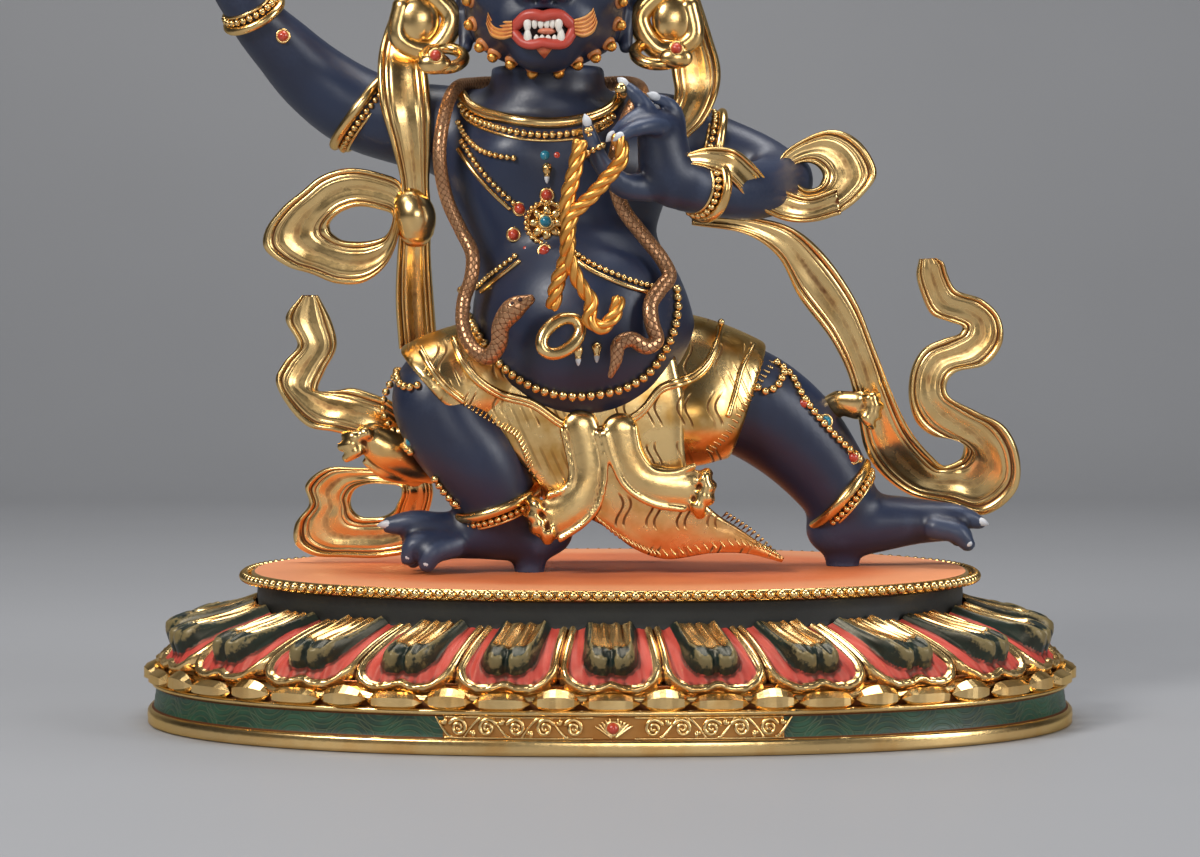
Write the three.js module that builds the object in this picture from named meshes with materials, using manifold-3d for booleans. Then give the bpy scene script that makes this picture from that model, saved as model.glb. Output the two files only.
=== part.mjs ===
// A cast and painted figure of the wrathful protector Vajrapani on his lotus plinth, in millimetres.
// Frame: +Z up, +X to the viewer's right, -Y towards the viewer, origin under the middle of the plinth.
// The figure is one casting with its skirt, hair and jewellery. The plinth, crown, scarves, snake, noose,
// vajra, earrings and stones are pieces of their own, each held about 0.3 mm clear of its neighbours.

import * as THREE from "three";
import { mergeVertices } from "three/addons/utils/BufferGeometryUtils.js";
import Module from "manifold-3d";

const wasm = await Module();
wasm.setup();

// Driving sizes of the plinth
const FOOT = { rx: 101.5, ry: 65 };
const TABLE = { rx: 80, ry: 54 };
const TABLE_Z = 32.8;
const OVAL = 2.3; // above 2 the outline is squarer than an ellipse
const PETALS = 24;

// Driving sizes of the figure and its trimmings
const GAP = 0.3;
const HEAD = { x: -14, y: -8, z: 156 };
const BELLY = { x: -5.9, y: -6, z: 87.3, r: 23.2 };
const FIST = { x: -83, y: -13, z: 168.5 };
const VAJRA_LENGTH = 37;
const STONE_R = 1.15;
const BAND = { wide: 3.6, rise: 1.6 }; // bangles, armlets and anklets

// Paint and gilding
const GOLD = { color: 0xd9a441, roughness: 0.3, metalness: 1 };
const BLUE = { color: 0x1b2233, roughness: 0.55, metalness: 0 };
const COPPER_GOLD = { color: 0xb9824a, roughness: 0.4, metalness: 1 };
const ROPE_GOLD = { color: 0xd98a30, roughness: 0.4, metalness: 1 };
const LOTUS_RED = { color: 0xb8403c, roughness: 0.7, metalness: 0 };
const CORAL = { color: 0xc23a22, roughness: 0.35, metalness: 0 };
const TURQUOISE = { color: 0x1786a6, roughness: 0.35, metalness: 0 };

// Basic tools: solids from point lists, joins and cuts
const V = (x, y, z) => new THREE.Vector3(x, y, z);
const lerp = THREE.MathUtils.lerp;

function closedSolid(points, faces) {
  const vertProperties = new Float32Array(points.flatMap((p) => [p.x, p.y, p.z]));
  const make = (order) =>
    new wasm.Manifold(new wasm.Mesh({ numProp: 3, vertProperties, triVerts: new Uint32Array(order) }));
  const made = make(faces.flat());
  return made.volume() < 0 ? make(faces.flatMap(([a, b, c]) => [a, c, b])) : made;
}

function fromGeometry(geometry) {
  const bare = new THREE.BufferGeometry().setAttribute("position", geometry.getAttribute("position"));
  if (geometry.index) bare.setIndex(geometry.index);
  const merged = mergeVertices(bare, 1e-4);
  const place = merged.getAttribute("position");
  const points = [];
  for (let i = 0; i < place.count; i += 1) points.push(new THREE.Vector3().fromBufferAttribute(place, i));
  const faces = [];
  for (let i = 0; i < merged.index.count; i += 3) {
    const face = [0, 1, 2].map((k) => merged.index.getX(i + k));
    if (new Set(face).size === 3) faces.push(face);
  }
  return closedSolid(points, faces);
}

function toGeometry(solid) {
  const mesh = solid.getMesh();
  const geometry = new THREE.BufferGeometry();
  geometry.setAttribute("position", new THREE.BufferAttribute(new Float32Array(mesh.vertProperties), 3));
  geometry.setIndex(new THREE.BufferAttribute(new Uint32Array(mesh.triVerts), 1));
  return geometry;
}

const join = (...solids) => solids.flat().reduce((all, one) => all.add(one));
const cut = (solid, ...tools) => tools.flat().reduce((left, tool) => left.subtract(tool), solid);
const largest = (solid) => solid.decompose().sort((a, b) => b.volume() - a.volume())[0];

// Rings of points skinned into one body, closed on itself or with a point at either end. Neighbouring
// rings may have different counts: the skin then steps along whichever ring is behind.
function skin(rings, { start, end, closed = false } = {}) {
  const points = rings.flat();
  const firstOf = rings.map((_, i) => rings.slice(0, i).reduce((sum, ring) => sum + ring.length, 0));
  const faces = [];
  const bands = closed ? rings.length : rings.length - 1;
  for (let i = 0; i < bands; i += 1) {
    const next = (i + 1) % rings.length;
    const [hereCount, nextCount] = [rings[i].length, rings[next].length];
    const here = (k) => firstOf[i] + (k % hereCount);
    const there = (k) => firstOf[next] + (k % nextCount);
    let a = 0;
    let b = 0;
    while (a < hereCount || b < nextCount) {
      if ((a + 1) / hereCount <= (b + 1) / nextCount) {
        faces.push([here(a), here(a + 1), there(b)]);
        a += 1;
      } else {
        faces.push([here(a), there(b + 1), there(b)]);
        b += 1;
      }
    }
  }
  if (!closed) {
    const first = points.push(start) - 1;
    const final = points.push(end) - 1;
    rings[0].forEach((_, k) => faces.push([first, (k + 1) % rings[0].length, k]));
    const tail = rings.at(-1).length;
    rings.at(-1).forEach((_, k) => faces.push([final, firstOf.at(-1) + k, firstOf.at(-1) + ((k + 1) % tail)]));
  }
  return closedSolid(points, faces);
}

const middle = (ring) => ring.reduce((sum, p) => sum.add(p), V(0, 0, 0)).divideScalar(ring.length);

// Frames along a curve, carried on without twist from a first side direction.
function framesAlong(curve, steps, closed, side) {
  const frames = [];
  let normal = side.clone();
  const count = closed ? steps : steps + 1;
  for (let i = 0; i < count; i += 1) {
    const tangent = curve.getTangent(i / steps);
    normal = normal.sub(tangent.clone().multiplyScalar(normal.dot(tangent))).normalize();
    frames.push({ t: i / steps, tangent, normal: normal.clone(), across: tangent.clone().cross(normal) });
  }
  return frames;
}

// A limb through stations [x, y, z, half width, depth ratio], with domed ends, or flat ones for a dome of 0.
// Each band is a place along it, 0 to 1, where a bangle of BAND size stands off the skin.
function limb(stations, { sides = 8, steps = 8, grow = 0, dome = 0.8, bands = [] } = {}) {
  const curve = new THREE.CatmullRomCurve3(stations.map((s) => V(s[0], s[1], s[2])), false, "centripetal");
  const sizes = new THREE.CatmullRomCurve3(stations.map((s) => V(s[3], s[4] ?? 1, 0)), false, "centripetal");
  const depthwards = Math.abs(curve.getTangent(0).y) > 0.9 ? V(0, 0, 1) : V(0, 1, 0);
  const frames = framesAlong(curve, steps, false, depthwards);
  const ringAt = (frame, shift, scale, rise = 0) => {
    const size = sizes.getPoint(frame.t);
    const wide = (size.x + grow + rise) * scale;
    const deep = (size.x * size.y + grow + rise) * scale;
    const centre = curve.getPoint(frame.t).addScaledVector(frame.tangent, shift * (size.x + grow) * dome);
    return Array.from({ length: sides }, (_, k) => {
      const a = (k * 2 * Math.PI) / sides;
      return centre
        .clone()
        .addScaledVector(frame.across, wide * Math.cos(a))
        .addScaledVector(frame.normal, deep * Math.sin(a));
    });
  };
  const half = BAND.wide / 2 / curve.getLength();
  const nearBand = (t) => bands.some((place) => Math.abs(place - t) < half * 1.6);
  const bandSteps = bands.flatMap((place) =>
    [-1, 0, 1].map((side) => ({ t: place + side * half, rise: side ? 0 : BAND.rise })));
  const places = frames.filter(({ t }) => !nearBand(t)).map(({ t }) => ({ t, rise: 0 })).concat(bandSteps);
  const rings = places.sort((a, b) => a.t - b.t).map(({ t, rise }) => {
    const near = frames[Math.min(steps, Math.round(t * steps))];
    const tangent = curve.getTangent(t);
    const normal = near.normal.clone().addScaledVector(tangent, -near.normal.dot(tangent)).normalize();
    return ringAt({ t, tangent, normal, across: tangent.clone().cross(normal) }, 0, 1, rise);
  });
  const first = frames[0];
  const final = frames[steps];
  if (dome > 0) {
    rings.unshift(ringAt(first, -0.6, 0.75));
    rings.push(ringAt(final, 0.6, 0.75));
  }
  return skin(rings, { start: middle(ringAt(first, -1, 0.1)), end: middle(ringAt(final, 1, 0.1)) });
}

// A cord of one thickness through points.
const cord = (points, r, options) => limb(points.map((p) => [p[0], p[1], p[2], r]), options);

// A hoop round an axis, wide and deep radii apart, its section taller along the axis by a ratio.
function hoop(centre, axis, wide, deep, r, { sides = 5, around = 14, tall = 1 } = {}) {
  const along = V(...axis).normalize();
  const across = V(0, 1, 0).cross(along).normalize();
  const depth = along.clone().cross(across);
  const rings = Array.from({ length: around }, (_, i) => {
    const a = (i * 2 * Math.PI) / around;
    const out = across.clone().multiplyScalar(Math.cos(a)).addScaledVector(depth, Math.sin(a));
    const mid = V(...centre)
      .addScaledVector(across, wide * Math.cos(a))
      .addScaledVector(depth, deep * Math.sin(a));
    return Array.from({ length: sides }, (_, k) => {
      const b = (k * 2 * Math.PI) / sides;
      return mid.clone().addScaledVector(out, r * Math.cos(b)).addScaledVector(along, r * tall * Math.sin(b));
    });
  });
  return skin(rings, { closed: true });
}

function ball(centre, [rx, ry, rz], wide = 10, high = 7) {
  const geometry = new THREE.SphereGeometry(1, wide, high).rotateX(Math.PI / 2);
  return fromGeometry(geometry.scale(rx, ry, rz).translate(...centre));
}

// A turned button or cone standing on a point and facing a direction, from a profile of [radius, height].
function turned(centre, facing, profile, sides = 8) {
  const lathe = new THREE.LatheGeometry(profile.map(([r, h]) => new THREE.Vector2(r, h)), sides);
  const turn = new THREE.Quaternion().setFromUnitVectors(V(0, 1, 0), V(...facing).normalize());
  return fromGeometry(lathe.applyQuaternion(turn).translate(...centre));
}

// A gilded ribbon. Each row gives its two edges and depth: [x1, z1, x2, z2, y]. The face has raised
// edges and a sunk middle, and the back is plain.
const RIBBON_FACE = [[0, 1], [0.5, 0.5], [1, 1]];
function ribbon(rows, { steps = 20, front = 1.5, back = 1.1, closed = false, face = RIBBON_FACE } = {}) {
  const edge = (i) =>
    new THREE.CatmullRomCurve3(rows.map((r) => V(r[i], r[4], r[i + 1])), closed, "centripetal");
  const edges = [edge(0), edge(2)];
  const rings = Array.from({ length: closed ? steps : steps + 1 }, (_, i) => {
    const [a, b] = edges.map((e) => e.getPoint(i / steps));
    const faceRow = face.map(([t, height]) => a.clone().lerp(b, t).add(V(0, -front * height, 0)));
    return [...faceRow, b.clone().add(V(0, back, 0)), a.clone().add(V(0, back, 0))];
  });
  return skin(rings, closed ? { closed } : { start: middle(rings[0]), end: middle(rings.at(-1)) });
}

// Where a straight look from the front at (x, z) meets a body, and which way it faces there.
function frontOf(mesh, x, z) {
  const ray = new THREE.Raycaster(V(x, -120, z), V(0, 1, 0));
  const hit = ray.intersectObject(mesh)[0];
  return hit ? { y: hit.point.y, facing: hit.face.normal.clone() } : { y: 0, facing: V(0, -1, 0) };
}

// A chain that lies on the front of a body, through points [x, z].
function draped(mesh, points, r, { steps }) {
  const curve = new THREE.CatmullRomCurve3(points.map(([x, z]) => V(x, 0, z)), false, "centripetal");
  const path = curve.getPoints(points.length * 2).map((p) => [p.x, frontOf(mesh, p.x, p.z).y - r * 0.35, p.z]);
  return cord(path, r, { sides: 4, steps, dome: 0 });
}

// The lotus plinth
const rim = (angle, rx, ry) => {
  const bend = (v) => Math.sign(v) * Math.abs(v) ** (2 / OVAL);
  return [rx * bend(Math.cos(angle)), ry * bend(Math.sin(angle))];
};

// Angles that part the outline into lengths of equal size, the first at the middle of the front.
function evenAngles(count) {
  const fine = 1440;
  const lengths = [0];
  const at = (i) => V(...rim(-Math.PI / 2 + (i * 2 * Math.PI) / fine, FOOT.rx, FOOT.ry), 0);
  for (let i = 1; i <= fine; i += 1) lengths.push(lengths[i - 1] + at(i).distanceTo(at(i - 1)));
  return Array.from({ length: count }, (_, k) => {
    const wanted = (k * lengths[fine]) / count;
    const i = lengths.findIndex((length) => length >= wanted);
    return -Math.PI / 2 + (i * 2 * Math.PI) / fine;
  });
}

const halfSize = (inward) => [lerp(FOOT.rx, TABLE.rx, inward), lerp(FOOT.ry, TABLE.ry, inward)];

// The way out of the plinth's side at an angle, flat.
function outward(angle) {
  const [x1, y1] = rim(angle - 0.01, FOOT.rx, FOOT.ry);
  const [x2, y2] = rim(angle + 0.01, FOOT.rx, FOOT.ry);
  return V(y2 - y1, x1 - x2, 0).normalize();
}

function plinthPoint(angle, inward, z, bulge = 0) {
  const [x, y] = rim(angle, ...halfSize(inward));
  return V(x, y, z).addScaledVector(outward(angle), bulge);
}

// The ledges of the plinth as [how far in from foot to table, height, bulges over one petal]. Each petal
// is sampled at the middle of its scroll, at its two lobes and in the valley to its neighbour.
const SAMPLES = 4;
const petalForm = (scroll, lobe, valley) => [scroll, lobe, valley, lobe];
const podForm = [1.4, -0.9, 1.4, -0.9];
const PLINTH_PROFILE = [
  [0, 0], [0, 3.2], [0.06, 3.6], [0.1, 8.2], [0.05, 8.6], [0.05, 9.3],
  [0.12, 11.4, podForm], [0.22, 14.6, petalForm(0.8, 0.6, -1.5)], [0.34, 20, petalForm(3, 1.2, -1.3)],
  [0.72, 24.8, petalForm(2.6, 0.4, -0.8)],
  [1.12, 25.8], [1.1, 30.4], [1, 31], [1, 32.2], [1.06, TABLE_Z],
];

function lotusPlinth() {
  const fine = evenAngles(PETALS * SAMPLES);
  const coarse = evenAngles(PETALS * 2);
  const rings = PLINTH_PROFILE.map(([inward, z, form]) =>
    (form ? fine : coarse).map((angle, k) => plinthPoint(angle, inward, z, form ? form[k % SAMPLES] : 0)));
  return skin(rings, { start: V(0, 0, 0), end: V(0, 0, TABLE_Z) });
}

// The body under the dress: trunk, arms and legs, grown by a gap where a neighbour is cut clear of it.
const TRUNK = [
  [-13.6, -2, 143, 12.3, 0.95], [-13.4, -1, 137, 13.4, 0.92], [-11.5, 0, 132.6, 21, 0.66],
  [-11, 0, 127, 27, 0.62], [-11, -1, 121, 27, 0.66], [-11.4, -2, 113.5, 23.4, 0.72],
  [-10.6, -2, 105, 20.6, 0.8], [-8, -2, 97, 21, 0.9], [-5.6, -2, 86, 23.6, 0.85], [-4.4, -1, 74, 21, 0.8],
  [-4.2, 0, 66, 15, 0.8],
];
const RIGHT_ARM = [
  [-28, 2, 128, 10, 0.9], [-36.5, 3, 129.4, 9.8], [-46, 4, 131, 9.2], [-56, 5, 134.4, 9], [-65, 3, 140.6, 8.1],
  [-71.6, -1, 147.2, 6.9], [-76.4, -4, 152.4, 6], [-79.4, -6.5, 158, 5.8], [-81.5, -8, 163.5, 6.2],
];
const LEFT_ARM_UPPER = [
  [2, 2, 127.5, 9.5, 0.9], [12, 3, 128.6, 8.8], [23, 3, 125.4, 7.3], [32, 1, 121.8, 6.8], [38, -4, 118.2, 6.2],
];
const LEFT_FOREARM = [
  [37.4, -5, 117.8, 6.2], [31.8, -14, 115.8, 6.3], [24.6, -22, 115.6, 6], [17.4, -28, 116.4, 5.4],
];
const LEFT_PALM = [[17.5, -28, 116.6, 5.3, 0.9], [12.6, -31.5, 118.6, 6.4, 0.7], [10.6, -33.5, 126.5, 5.6, 0.6]];
const RIGHT_LEG = [
  [-12, 2, 74, 12, 1], [-26, -5, 75.4, 11.6], [-37.4, -12.5, 71.4, 9.8], [-35, -13.5, 64.6, 9.8],
  [-29, -12, 57, 10], [-25, -10, 49.4, 8.6], [-24, -9, 44, 6.6],
];
const LEFT_LEG = [
  [4, 2, 75, 12.4, 1], [17.6, 2, 73.4, 12.2], [29.8, 3.5, 69.6, 12], [38.7, 5, 63.8, 11.2],
  [45.6, 6, 56.6, 9.8], [51, 6.5, 48.6, 8.2], [52.8, 7, 43, 6.8],
];
const RIGHT_FOOT = [
  [-16.8, -8, 39.6, 5.0, 1.1], [-24, -8.6, 40.8, 5.4, 1.15], [-32.5, -9, 40.8, 5.1, 1.2], [-41, -9, 40.4, 4.6, 1.3],
];
const LEFT_FOOT = [
  [52.8, 7, 40.6, 6.2, 0.95], [60, 7, 42.2, 6.3, 1], [67, 7, 42.7, 5.3, 1.15], [75, 7, 42.6, 4.2, 1.35],
];

function nakedBody(grow = 0) {
  const parts = [
    limb(TRUNK, { sides: 11, steps: 8, grow, dome: 0 }),
    ball([BELLY.x, BELLY.y, BELLY.z], [BELLY.r + grow, BELLY.r + grow, BELLY.r * 0.98 + grow], 11, 7),
    limb(RIGHT_ARM, { sides: 7, steps: 6, grow, bands: [0.36, 0.79], dome: 0 }),
    limb(LEFT_ARM_UPPER, { sides: 6, steps: 3, grow, bands: [0.5], dome: 0.5 }),
    limb(LEFT_FOREARM, { sides: 6, steps: 3, grow, bands: [0.9], dome: 0 }),
    limb(LEFT_PALM, { sides: 6, steps: 2, grow, dome: 0.5 }),
    limb(RIGHT_LEG, { sides: 8, steps: 6, grow, dome: 0, bands: [0.83] }),
    limb(LEFT_LEG, { sides: 8, steps: 6, grow, dome: 0, bands: [0.81] }),
    limb(RIGHT_FOOT, { sides: 6, steps: 2, grow }),
    limb(LEFT_FOOT, { sides: 6, steps: 2, grow, dome: 0.5 }),
  ];
  return join(parts);
}

// Fingers and toes as [x, y, z, r] stations
const LEFT_FINGERS = [
  [[9.4, -34, 128, 2.1], [7.6, -36.5, 132.2, 1.9], [5.4, -37, 135, 1.4], [2.6, -36.4, 137.6, 0.5]],
  [[14, -31, 126, 2.1], [13.8, -31.5, 131, 1.9], [12.2, -33, 133.4, 1.4], [8.9, -34, 134.9, 0.5]],
  [[10.6, -34, 129.4, 2.3], [6.3, -38, 130.6, 2], [3.1, -40, 128.9, 1.6], [0.3, -40.2, 126.3, 0.7]],
  [[12, -33.5, 128.4, 2.2], [8.6, -39.4, 128.6, 2], [5, -42.4, 127.8, 1.6], [1.8, -43, 126, 0.7]],
  [[8, -33, 116, 3.2], [2.6, -36.4, 116.4, 2.7], [-2, -38, 121, 2.1], [-3.8, -38, 125.4, 1.8], [-5.4, -38, 130.2, 0.6]],
];
const RIGHT_TOES = [
  [[-38, -11, 42.4, 3.1], [-44.5, -12, 43.2, 2.5], [-49.6, -12, 42.6, 0.8]],
  [[-39, -14, 39, 2.3], [-44, -15.5, 37.6, 2.2], [-45.6, -15.5, 35, 1.2]],
  [[-38, -8, 38, 2.3], [-43.6, -8, 37, 2.2], [-45.2, -8, 34.8, 1.2]],
  [[-36.5, -4, 38, 2.2], [-41.6, -3.4, 36.8, 2.1], [-43.2, -3.4, 34.8, 1.1]],
  [[-34, -14, 38.6, 2.4], [-39.4, -16.8, 36.6, 2.1], [-41, -17, 34.6, 1.1]],
];
const LEFT_TOES = [
  [[72, 5, 44, 2.9], [78.6, 4, 44.2, 2.2], [83.6, 4, 42.2, 0.7]],
  [[73, 1.5, 41.6, 2.2], [78.6, 0.6, 40.4, 2], [80.8, 0.6, 37.8, 0.9]],
  [[73, 8, 41.2, 2.3], [79, 8.4, 40.6, 2.1], [81.4, 8.4, 38, 0.9]],
  [[72.6, 11.5, 41, 2.1], [78, 12.6, 40, 1.9], [80, 12.6, 37.8, 0.8]],
];
const GRIP_TURN = 3.4; // finger to finger along the vajra's shaft
const GRIP_R = 4;
const VAJRA_WAY = V(0.83, 0, 0.56).normalize();

// The four fingers closed round the vajra, and the thumb across them.
function fistFingers() {
  const towardViewer = V(0, -1, 0);
  const up = towardViewer.clone().cross(VAJRA_WAY).negate();
  const wrap = [-0.7, 0.3, 1.3, 2.3, 3.2].map((a) => [GRIP_R * Math.cos(a), GRIP_R * Math.sin(a)]);
  const fingers = [0, 1, 2, 3].map((i) => {
    const centre = V(FIST.x, FIST.y, FIST.z).addScaledVector(VAJRA_WAY, (i - 1.5) * GRIP_TURN);
    return wrap.map(([rise, reach], k) => {
      const p = centre.clone().addScaledVector(up, rise).addScaledVector(towardViewer, reach);
      return [p.x, p.y, p.z, k === 4 ? 1.2 : 1.9];
    });
  });
  const thumb = [[-77.5, -9, 162, 2.6], [-76.6, -15, 165, 2.2], [-79.5, -19, 168.5, 1.3]];
  return [...fingers, thumb];
}

function hands(grow = 0) {
  const fingers = LEFT_FINGERS.map((f) => limb(f, { sides: 4, steps: 3, grow, dome: 0 }));
  const grip = fistFingers().map((f) => limb(f, { sides: 4, steps: 3, grow, dome: 0 }));
  const palm = limb([[-80, -6, 160, 5.8], [-83.4, -8, 168, 7.2, 0.6]], { sides: 6, steps: 1, grow, dome: 0.4 });
  return [...fingers, ...grip, palm];
}

function feet() {
  const toes = [...RIGHT_TOES, ...LEFT_TOES].map((t) => limb(t, { sides: 4, steps: 2, dome: 0 }));
  const pegFoot = TABLE_Z + GAP;
  const rightPeg = limb([[-17.6, -8, 38.4, 3.6, 1.1], [-17.6, -8, pegFoot, 3.2, 1.1]], { sides: 6, steps: 1, dome: 0 });
  const leftPeg = limb([[51.6, 7, 38, 4, 1], [51.8, 7, pegFoot, 3.6, 1]], { sides: 6, steps: 1, dome: 0 });
  return [...toes, rightPeg, leftPeg];
}

// The head: skull and jaw, the open fanged mouth, bulging eyes, and the upswept hair.
const SKULL = [
  [-14, -9, 142.6, 7, 0.8], [-14, -9, 146, 13.4, 0.9], [-14, -8.6, 151, 16.4, 0.98], [-14, -8, 157, 17.2, 1],
  [-14, -7.4, 164, 17, 1], [-14, -6.6, 170, 15.6, 1], [-14, -5, 176, 11, 1],
];
const MOUTH = { x: -13.7, y: -23.6, z: 150.4, wide: 6.9, high: 3.5 };
const HAIR_LOCKS = 8;

function hairMass(grow = 0) {
  const stations = [
    [-14, -5, 167, 13.8], [-14, -5, 172.6, 14.6], [-14, -1.6, 180, 17], [-14, 1, 190, 15.2],
    [-13.4, 2.4, 201, 8.4],
  ];
  const rings = stations.map(([x, y, z, r], i) =>
    Array.from({ length: HAIR_LOCKS * 2 }, (_, k) => {
      const a = (k * Math.PI) / HAIR_LOCKS + i * 0.18;
      const lock = r * (k % 2 ? 0.86 : 1.06) + grow;
      return V(x + lock * Math.cos(a), y + lock * 0.86 * Math.sin(a), z);
    }),
  );
  return skin(rings, { start: V(-14, -5, 167), end: V(-11.4, 2.4, 213.4) });
}

// Flame tips that stand off the hair on both sides.
function hairFlames() {
  const tips = [[-1, 179, 23], [-1, 188, 20], [1, 179, 23], [1, 188, 20]];
  return tips.map(([side, z, out]) =>
    limb(
      [
        [HEAD.x + side * out * 0.45, 0, z - 4, 5, 0.8],
        [HEAD.x + side * out * 0.85, 1, z + 1, 3.2, 0.8],
        [HEAD.x + side * out, 1.5, z + 9, 0.5, 1],
      ],
      { sides: 3, steps: 2, dome: 0 },
    ),
  );
}

function face(skull) {
  const { x, y, z, wide, high } = MOUTH;
  const lips = hoop([x, y - 0.2, z], [0, -1, 0.06], wide, high, 1.15, { around: 8, sides: 3, tall: 1.2 });
  const hollow = ball([x, y - 2, z], [wide - 0.6, 4.4, high - 0.4], 8, 4);
  const nose = limb([[-14, -24, 164, 1.8], [-14, -26, 159.4, 2.8], [-14, -25.8, 156.6, 4.2, 0.7]], {
    sides: 6,
    steps: 2,
    dome: 0.3,
  });
  const eyes = [-20.6, -7.4].map((ex) => ball([ex, -21.8, 163], [3.5, 2.8, 2.5], 6, 4));
  const thirdEye = ball([-14, -22.6, 168.6], [1.9, 2, 2.4], 5, 4);
  const brows = [-1, 1].map((s) =>
    limb([[-14 + s * 2.4, -24.2, 165.6, 1.5], [-14 + s * 7, -23, 168, 1.5], [-14 + s * 12.4, -18, 166.4, 0.8]],
      { sides: 4, steps: 2, dome: 0 }));
  const wings = [-1, 1].map((s) =>
    limb([[-14 + s * 6.6, -22.6, 153.4, 1], [-14 + s * 10, -21, 152.4, 2.4, 0.5], [-14 + s * 12.6, -18.6, 154.8, 0.8]],
      { sides: 4, steps: 2, dome: 0 }));
  const ears = [-1, 1].map((s) =>
    limb([[-14 + s * 16.4, -4, 160, 2.2, 1.3], [-14 + s * 16.8, -5, 154, 2.2, 1.1], [-14 + s * 16.8, -6, 148, 1.5]],
      { sides: 5, steps: 2, dome: 0.4 }));
  return join(cut(join(skull, nose, eyes, thirdEye, brows, ears, lips), hollow), wings);
}

// Knobs of the curled beard, set round the jaw at [x, z].
const BEARD = [
  [-44.2, 157.6], [-44.2, 152.2], [-42.8, 147.4], [-40, 144.6], [-35.6, 144.2], [-30.6, 143.8], [-25.2, 144.2],
  [-21, 144.4], [-16.4, 145.2], [-13.4, 147.4], [-12.2, 152.4], [-12.2, 157.6],
].map(([x, z]) => [x + 14.3, z]);

function beard(skullMesh) {
  return BEARD.map(([x, z]) => {
    const inside = HEAD.x + (x - HEAD.x) * 0.93;
    const spot = frontOf(skullMesh, inside, z);
    const out = V(inside - HEAD.x, spot.y - HEAD.y, (z - 152) * 0.4).normalize();
    const foot = [inside - out.x * 0.8, spot.y - out.y * 0.8, z];
    return turned(foot, out.toArray(), [[0, 0], [1.9, 0], [0, 4]], 4);
  });
}

// The tiger skin: two thigh wraps cut at the hem, a hanging sheet, and its paws.
const RIGHT_WRAP = [[-8, 1, 74, 16.4, 1], [-26, -5, 75, 13.2, 1], [-40, -13, 71.6, 11.4, 1], [-46, -16, 66, 9, 1]];
const LEFT_WRAP = [[4, 1, 75, 15.4, 1], [17, 1.6, 74, 14.6, 1], [29.6, 3, 70, 13.2, 1], [41, 5, 62, 12.6, 1]];
const HANG = [
  [-34, 76, 18, 80, -17], [-27, 65.6, 28, 70, -16.4], [-18.4, 57, 24, 62, -15.6], [-11, 48.6, 20.6, 57, -15],
  [-1, 43, 20, 52, -14.4], [5, 38.4, 21, 48, -14], [12, 36, 23.4, 45.6, -13.4], [22, 37.2, 27.4, 43, -12.8],
  [30, 37, 32, 39.8, -12.2], [37.2, 35.2, 37.8, 36.2, -12],
];
const HANG_BEHIND = [[-30, 76, 20, 78, 17], [-25, 62, 24, 64, 19], [-18, 50, 18, 52, 20], [-12, 44, 12, 45, 20]];
const PLAIN_FACE = [[0, 0.8], [0.5, 1], [1, 0.8]];
const PAWS = [
  [[-5.4, -17.4, 68, 5, 0.6], [-7, -18.4, 57, 5.2, 0.6], [-9.6, -19.4, 50.6, 5.2, 0.7], [-15.4, -20.4, 45.4, 4.4, 0.8]],
  [[3.4, -17.4, 68, 4.8, 0.6], [5.4, -18.4, 58.4, 4.8, 0.6], [11, -19.2, 53.2, 4.6, 0.7], [18.8, -19.6, 52.2, 4.2, 0.8]],
  [[-33, -3, 52, 4, 1], [-42, -8, 56.4, 4.6, 0.8], [-49.4, -11, 60, 4.6, 0.8], [-54, -12, 60, 3.4, 0.8]],
  [[42, 7, 64, 4, 1], [48, 5, 66.2, 3.6, 0.9], [54, 1.6, 68, 4.2, 0.8], [57, 0, 68, 3.6, 0.8]],
];
const CLAWS = [
  [[-14, -21.6, 47.6], [-18.6, -22, 47, 0.6]], [[-14.6, -21.6, 44.8], [-19, -22, 43, 0.6]],
  [[18, -20.8, 54.4], [22, -21.2, 53.4, 0.6]], [[18, -20.8, 51.4], [22, -21.2, 50.2, 0.6]],
  [[-53, -13, 62], [-58.4, -13.4, 61.4, 0.6]], [[-53, -13, 59], [-58.4, -13.4, 58.4, 0.6]],
];

// A block on one side of a slanting plane through (x, z), used to trim a wrap along its hem.
function beyondHem(x, z, angle) {
  const block = new THREE.BoxGeometry(120, 120, 120).translate(-60, 0, 0);
  return fromGeometry(block.rotateY(-angle).translate(x, 0, z));
}

function tigerSkin(grow = 0) {
  const right = cut(limb(RIGHT_WRAP, { sides: 9, steps: 3, dome: 0, grow }), beyondHem(-31.5, 65, 0.72));
  const hemRight = beyondHem(30, 68, Math.PI + 0.95 - Math.PI / 2 + 0.3);
  const left = cut(limb(LEFT_WRAP, { sides: 9, steps: 3, dome: 0, grow }), hemRight);
  const hang = ribbon(HANG, { steps: 10, face: PLAIN_FACE, front: 1.5 + grow, back: 1.1 + grow });
  const back = ribbon(HANG_BEHIND, { steps: 4, face: PLAIN_FACE, front: 1.5 + grow, back: 1.1 + grow });
  const paws = PAWS.map((p) => limb(p, { sides: 5, steps: 3, dome: 0, grow }));
  const claws = CLAWS.map(([a, b]) => limb([[...a, 1.5], b], { sides: 4, steps: 1, dome: 0, grow }));
  return join(right, left, hang, back, paws, claws);
}

// Jewellery cast on the figure
const NECK_RING = [[-34, 135.6], [-30, 131.4], [-22, 129], [-14, 128.2], [-6, 129], [0, 131.6], [3, 135.6]];
const BELLY_BAND = [
  [-32, 94], [-30.4, 88], [-26.6, 82.4], [-20.6, 76], [-13.4, 72], [-6, 70.9], [1, 72], [7.4, 75.4], [12.6, 81],
  [15.4, 88], [15.6, 94],
];
const WHEEL = { x: -13.8, z: 109, r: 4.4, thick: 1.6 };

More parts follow.
